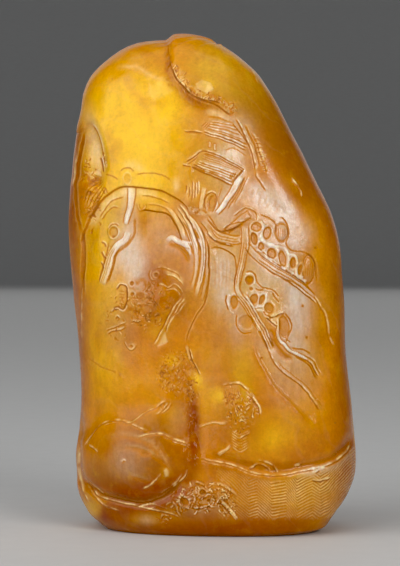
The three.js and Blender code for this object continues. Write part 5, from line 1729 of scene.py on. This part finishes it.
colour, colour_in, colour_out = group(
    "stone colour",
    {"Thread": 0.25, "Cloud": 1.0},
    {"Color": "NodeSocketColor", "Wet": "NodeSocketFloat"},
)
where = node(colour, "TexCoord").outputs["Object"]
mask_of = {
    name: node(colour, "Attribute", attribute_name=name).outputs["Fac"] for name in masks
}
cloud = clouds(colour, where, 45, 5, 0.6, 0.8)
small_cloud = clouds(colour, where, 190, 4, 0.6, 0.4)
shift = times(colour, off_middle(colour, small_cloud), 0.9)


def soft(name, gain):
    """A mask whose edge wanders with the small clouds: mask · gain + shift · mask."""
    mask = mask_of[name]
    return clamped(colour, sums(colour, "MULTIPLY_ADD", shift, mask, times(colour, mask, gain)))


def veil(value, low, high, most):
    """How strongly a layer shows: 0 where the value is at low, most where it is at high."""
    return times(colour, between(colour, value, low, high), most)


tone = blend(colour, veil(cloud, 0.42, 0.68, colour_in.outputs["Cloud"]), AMBER, DEEP)
drift = clouds(colour, where, 120, 5, 0.6, 0.5)
tone = blend(colour, veil(drift, 0.5, 0.62, 0.12), tone, HONEY)
# Brown places carry painted shade along the right margin too.
for name, gain, above in (("brown_and_shade", 1.0, BROWN_AND_SHADE), ("honey", 1.0, HONEY), ("olive", 0.9, OLIVE)):
    tone = blend(colour, soft(name, gain), tone, above)
tone = blend(colour, veil(drift, 0.47, 0.36, 0.3), tone, DEEP)
rubbing = rubbings(colour, where, 0.25, 1100, 0.65)
# Cream places: paler cut stone and painted sheen.
cream_and_sheen_share = times(colour, soft("cream_and_sheen", 0.9), sums(colour, "MULTIPLY_ADD", rubbing, 0.9, 0.5))
tone = blend(colour, clamped(colour, cream_and_sheen_share), tone, CREAM_AND_SHEEN)
tone = blend(colour, between(colour, mask_of["stain"], 0.0, 0.4), tone, AMBER)
# Rust places: the stone's red, and painted shade in the cleft, the valley and along the margins.
tone = blend(colour, soft("rust_and_shade", 0.9), tone, RUST_AND_SHADE)
patch = clouds(colour, where, 420, 5, 0.7)
tone = blend(colour, veil(patch, 0.54, 0.72, 0.14), tone, RUST_AND_SHADE)
tone = blend(colour, veil(patch, 0.46, 0.3, 0.14), tone, HONEY)
print("ground of the stone:", len(colour.nodes), "nodes")

# %% [markdown]
# Veins, wax, rubbing and painted light
#
# Over that ground come what grew in the stone, thin veins, pale threads and dark specks, and then
# what the hand did and the painted light: dark wax in the cuts, painted shade in the broad hollows
# and beside edges, and pale lines where the grit rubbed the proud edges bare, with painted
# highlights on crests and flat tops. They are gilt on the honey stone and white on the cream and
# sheen places. The mask of wax and shade also leaves the group, because wax is a little rougher
# than the polish.

# %% Veins, wax, rubbed edges and painted light
PALE = (0.92, 0.82, 0.68, 1)
GILT = (0.95, 0.69, 0.31, 1)
STAIN_AND_SHADE = (0.34, 0.11, 0.005, 1)

vein_noise = clouds(colour, where, 130, 6, 0.62, 0.6)
vein = sums(colour, "ABSOLUTE", off_middle(colour, vein_noise))
tone = blend(colour, veil(vein, 0.012, 0.0, 0.12), tone, RUST_AND_SHADE)
threads = node(colour, "TexWave", {
    "Vector": where, "Scale": 55.0, "Distortion": 9.0,
    "Detail": 3.0, "Detail Scale": 1.2, "Detail Roughness": 0.6,
}, wave_type="BANDS", bands_direction="DIAGONAL").outputs["Fac"]
tone = blend(colour, veil(threads, 0.93, 1.0, colour_in.outputs["Thread"]), tone, PALE)
specks = clouds(colour, where, 900, 2, 0.5)
tone = blend(colour, veil(specks, 0.66, 0.76, 0.1), tone, RUST_AND_SHADE)
# Painted shade in the broad hollows.
tone = blend(colour, times(colour, mask_of["hollow"], 0.3), tone, RUST_AND_SHADE)
# Wax in the cuts, and painted shade beside edges and under overhangs.
tone = blend(colour, between(colour, mask_of["stain"], 0.12, 1.0), tone, STAIN_AND_SHADE)
# Rubbed pale edges, and painted highlights on crests and flat tops.
streaked = times(colour, mask_of["pale"], sums(colour, "MULTIPLY_ADD", rubbing, 1.1, 0.3))
rubbed_and_highlight_tone = blend(colour, between(colour, mask_of["cream_and_sheen"], 0.05, 0.45), GILT, PALE)
tone = blend(colour, streaked, tone, rubbed_and_highlight_tone)
sugar = clouds(colour, where, 1700, 4, 0.7)
dim = sums(colour, "MULTIPLY_ADD", rubbing, 0.24, 0.7)
lightness = sums(colour, "MULTIPLY_ADD", sugar, 0.42, dim)
lit = node(colour, "VectorMath", {0: tone, "Scale": lightness}, operation="SCALE")
colour.links.new(lit.outputs[0], colour_out.inputs["Color"])
colour.links.new(mask_of["stain"], colour_out.inputs["Wet"])
print("stone colour:", len(colour.nodes), "nodes")

# %% [markdown]
# The hand-rubbed skin
#
# Close to, polished soapstone has faint rubbing marks and a grain like sugar. They are too fine for
# the mesh, so they are a bump height, and the same group gives the roughness its patches.

# %% Skin
skin, skin_in, skin_out = group(
    "rubbed skin",
    {"Grain": 1.0, "Rough": 0.3, "Wet": 0.0},
    {"Height": "NodeSocketFloat", "Roughness": "NodeSocketFloat"},
)
where = node(skin, "TexCoord").outputs["Object"]
grain = clouds(skin, where, 1500, 3, 0.6)
rubbing = rubbings(skin, where, 0.22, 700, 0.6)
dents = clouds(skin, where, 260, 3, 0.5)
height = sums(skin, "MULTIPLY_ADD", rubbing, 0.6, sums(skin, "MULTIPLY_ADD", dents, 1.4, grain))
uneven = off_middle(skin, clouds(skin, where, 120, 4, 0.6))
patches = sums(skin, "MULTIPLY_ADD", uneven, 0.25, skin_in.outputs["Rough"])
roughness = sums(skin, "MULTIPLY_ADD", skin_in.outputs["Wet"], 0.18, patches)
skin.links.new(times(skin, height, skin_in.outputs["Grain"]), skin_out.inputs["Height"])
skin.links.new(roughness, skin_out.inputs["Roughness"])
print("rubbed skin:", len(skin.nodes), "nodes")

# %% [markdown]
# Two finishes
#
# The carved sides are polished and the underside is sawn: rougher, plainer and with more grain. One
# function makes both from the two groups, so that they stay one stone.

# %% Two finishes
SUBSURFACE_REACH = (1.0, 0.36, 0.1)
SUBSURFACE_SCALE = 0.0018
STONE_IOR = 1.45
SHINE = 0.4
BUMP_REACH = 0.0001
UNDERSIDE = 1e-3


def soapstone(name, thread, cloud_gain, grain_gain, rough, bump, weight):
    """The shared colour and skin, with the shader's own plain values for the light inside the stone."""
    material = bpy.data.materials.new(name)
    material.use_nodes = True
    tree = material.node_tree
    shader = tree.nodes["Principled BSDF"]
    look_node = node(tree, "Group", {"Thread": thread, "Cloud": cloud_gain}, node_tree=colour)
    skin_node = node(tree, "Group", {
        "Grain": grain_gain, "Rough": rough, "Wet": look_node.outputs["Wet"],
    }, node_tree=skin)
    dent = node(tree, "Bump", {
        "Height": skin_node.outputs["Height"], "Strength": bump, "Distance": BUMP_REACH,
    })
    for socket, value in {
        "Base Color": look_node.outputs["Color"],
        "Roughness": skin_node.outputs["Roughness"],
        "Normal": dent.outputs[0],
        "Subsurface Weight": weight,
        "Subsurface Radius": SUBSURFACE_REACH,
        "Subsurface Scale": SUBSURFACE_SCALE,
        "IOR": STONE_IOR,
        "Specular IOR Level": SHINE,
    }.items():
        put(tree, value, shader.inputs[socket])
    return material


polished = soapstone("polished_soapstone", thread=0.015, cloud_gain=1.0, grain_gain=1.0,
                     rough=0.2, bump=0.45, weight=0.22)
sawn = soapstone("sawn_soapstone", thread=0.1, cloud_gain=0.7, grain_gain=2.5,
                 rough=0.55, bump=0.6, weight=0.25)
mesh.materials.append(polished)
mesh.materials.append(sawn)
flat = (carved.reshape(-1, 3)[triangles][..., 2] < UNDERSIDE).all(axis=1)
mesh.polygons.foreach_set("material_index", flat.astype("i4"))
print("faces on the sawn underside:", int(flat.sum()))

# %% [markdown]
# Floor
#
# A studio has a pale floor that sweeps up behind. Because this stone is looked at from all round,
# the sweep goes all round too, like a shallow bowl: no edge of the floor shows from any side. It is
# only the stage, so it is told to be one and stays out of the model.

# %% Floor
BOWL_FLAT, BOWL_RISE = 1.3, 1.1
FLAT_PART = 0.4


def bowl(rings, spokes):
    """Radius and height: flat to BOWL_FLAT, then a quarter circle of BOWL_RISE, turned round Z."""
    t = np.linspace(0, 1, rings)
    bend = np.clip((t - FLAT_PART) / (1 - FLAT_PART), 0, 1) * math.pi / 2
    bent_radius = BOWL_FLAT + BOWL_RISE * np.sin(bend)
    radius = np.where(t < FLAT_PART, BOWL_FLAT * (t / FLAT_PART), bent_radius)[:, None]
    height = np.repeat((BOWL_RISE * (1 - np.cos(bend)))[:, None], spokes, 1)
    angle = np.arange(spokes) / spokes * 2 * math.pi
    points = np.stack([radius * np.cos(angle), radius * np.sin(angle), height], -1).reshape(-1, 3)
    r, s = np.meshgrid(np.arange(rings - 1), np.arange(spokes), indexing="ij")
    a, b = r * spokes + s, r * spokes + (s + 1) % spokes
    return points, np.stack([a, a + spokes, b + spokes, b], -1).reshape(-1, 4)


points, faces = bowl(48, 128)
floor_mesh = bpy.data.meshes.new("studio_floor")
floor_mesh.from_pydata(points.tolist(), [], faces.tolist())
floor_mesh.shade_smooth()
floor = added("studio_floor", floor_mesh)
paper = bpy.data.materials.new("pale_paper")
paper.use_nodes = True
paper_tree = paper.node_tree
paper_shader = paper_tree.nodes["Principled BSDF"]
fibre = node(paper_tree, "TexNoise", {"Scale": 900.0, "Detail": 3.0}).outputs[0]
paper_colour = blend(paper_tree, fibre, (0.60, 0.60, 0.59, 1), (0.64, 0.64, 0.63, 1))
paper_tree.links.new(paper_colour, paper_shader.inputs["Base Color"])
paper_shader.inputs["Roughness"].default_value = 0.8
floor_mesh.materials.append(paper)
floor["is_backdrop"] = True
print("floor faces:", len(faces))

# %% [markdown]
# Light
#
# Thin relief shows only in light that comes from the side. A large soft box stands low on the left,
# a small one on the right picks out the edges, one lies overhead, and a weak one lights the back.
# The room gives a little cool fill. That fill would leave the cuts milky, so the view takes all
# that is darker than the black level as black.

# %% Lights
ROOM_TINT = (0.9, 0.93, 1.0, 1)
ROOM_FILL = 0.06
BLACK_LEVEL = 0.018


def softbox(name, azimuth, elevation, distance, size, power):
    """A rectangle of light on a sphere round the stone, turned to face its middle."""
    data = bpy.data.lights.new(name, "AREA")
    data.shape = "RECTANGLE"
    data.size, data.size_y = size
    data.energy = power
    lamp = added(name, data)
    a, e = math.radians(azimuth), math.radians(elevation)
    middle = Vector((0, 0, EYE_LEVEL * MM))
    back_way = Vector((math.sin(a) * math.cos(e), -math.cos(a) * math.cos(e), math.sin(e)))
    lamp.location = middle + back_way * distance
    lamp.rotation_euler = (-back_way).to_track_quat("-Z", "Y").to_euler()
    print(name, "stands at", [round(v, 2) for v in lamp.location], "m")


softbox("softbox_left", -52, 18, 0.9, (1.0, 1.2), 6.6)
softbox("softbox_right", 31, 20, 0.9, (0.36, 0.3), 3.5)
softbox("softbox_top", -20, 70, 1.0, (1.2, 1.2), 4.0)
softbox("softbox_behind", 178, 24, 1.2, (1.4, 1.0), 1.7)
world = bpy.data.worlds.new("room")
world.use_nodes = True
background = world.node_tree.nodes["Background"]
background.inputs["Color"].default_value = ROOM_TINT
background.inputs["Strength"].default_value = ROOM_FILL
bpy.context.scene.world = world
view = bpy.context.scene.view_settings
view.view_transform = "Standard"
view.use_curve_mapping = True
view.curve_mapping.black_level = (BLACK_LEVEL, BLACK_LEVEL, BLACK_LEVEL)
view.curve_mapping.update()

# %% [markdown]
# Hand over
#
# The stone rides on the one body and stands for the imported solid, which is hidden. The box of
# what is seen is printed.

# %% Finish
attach(stone, "root")
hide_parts("carved_boulder")
low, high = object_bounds()
print("visual box in mm:", [round(v / MM, 1) for v in (*low, *high)])
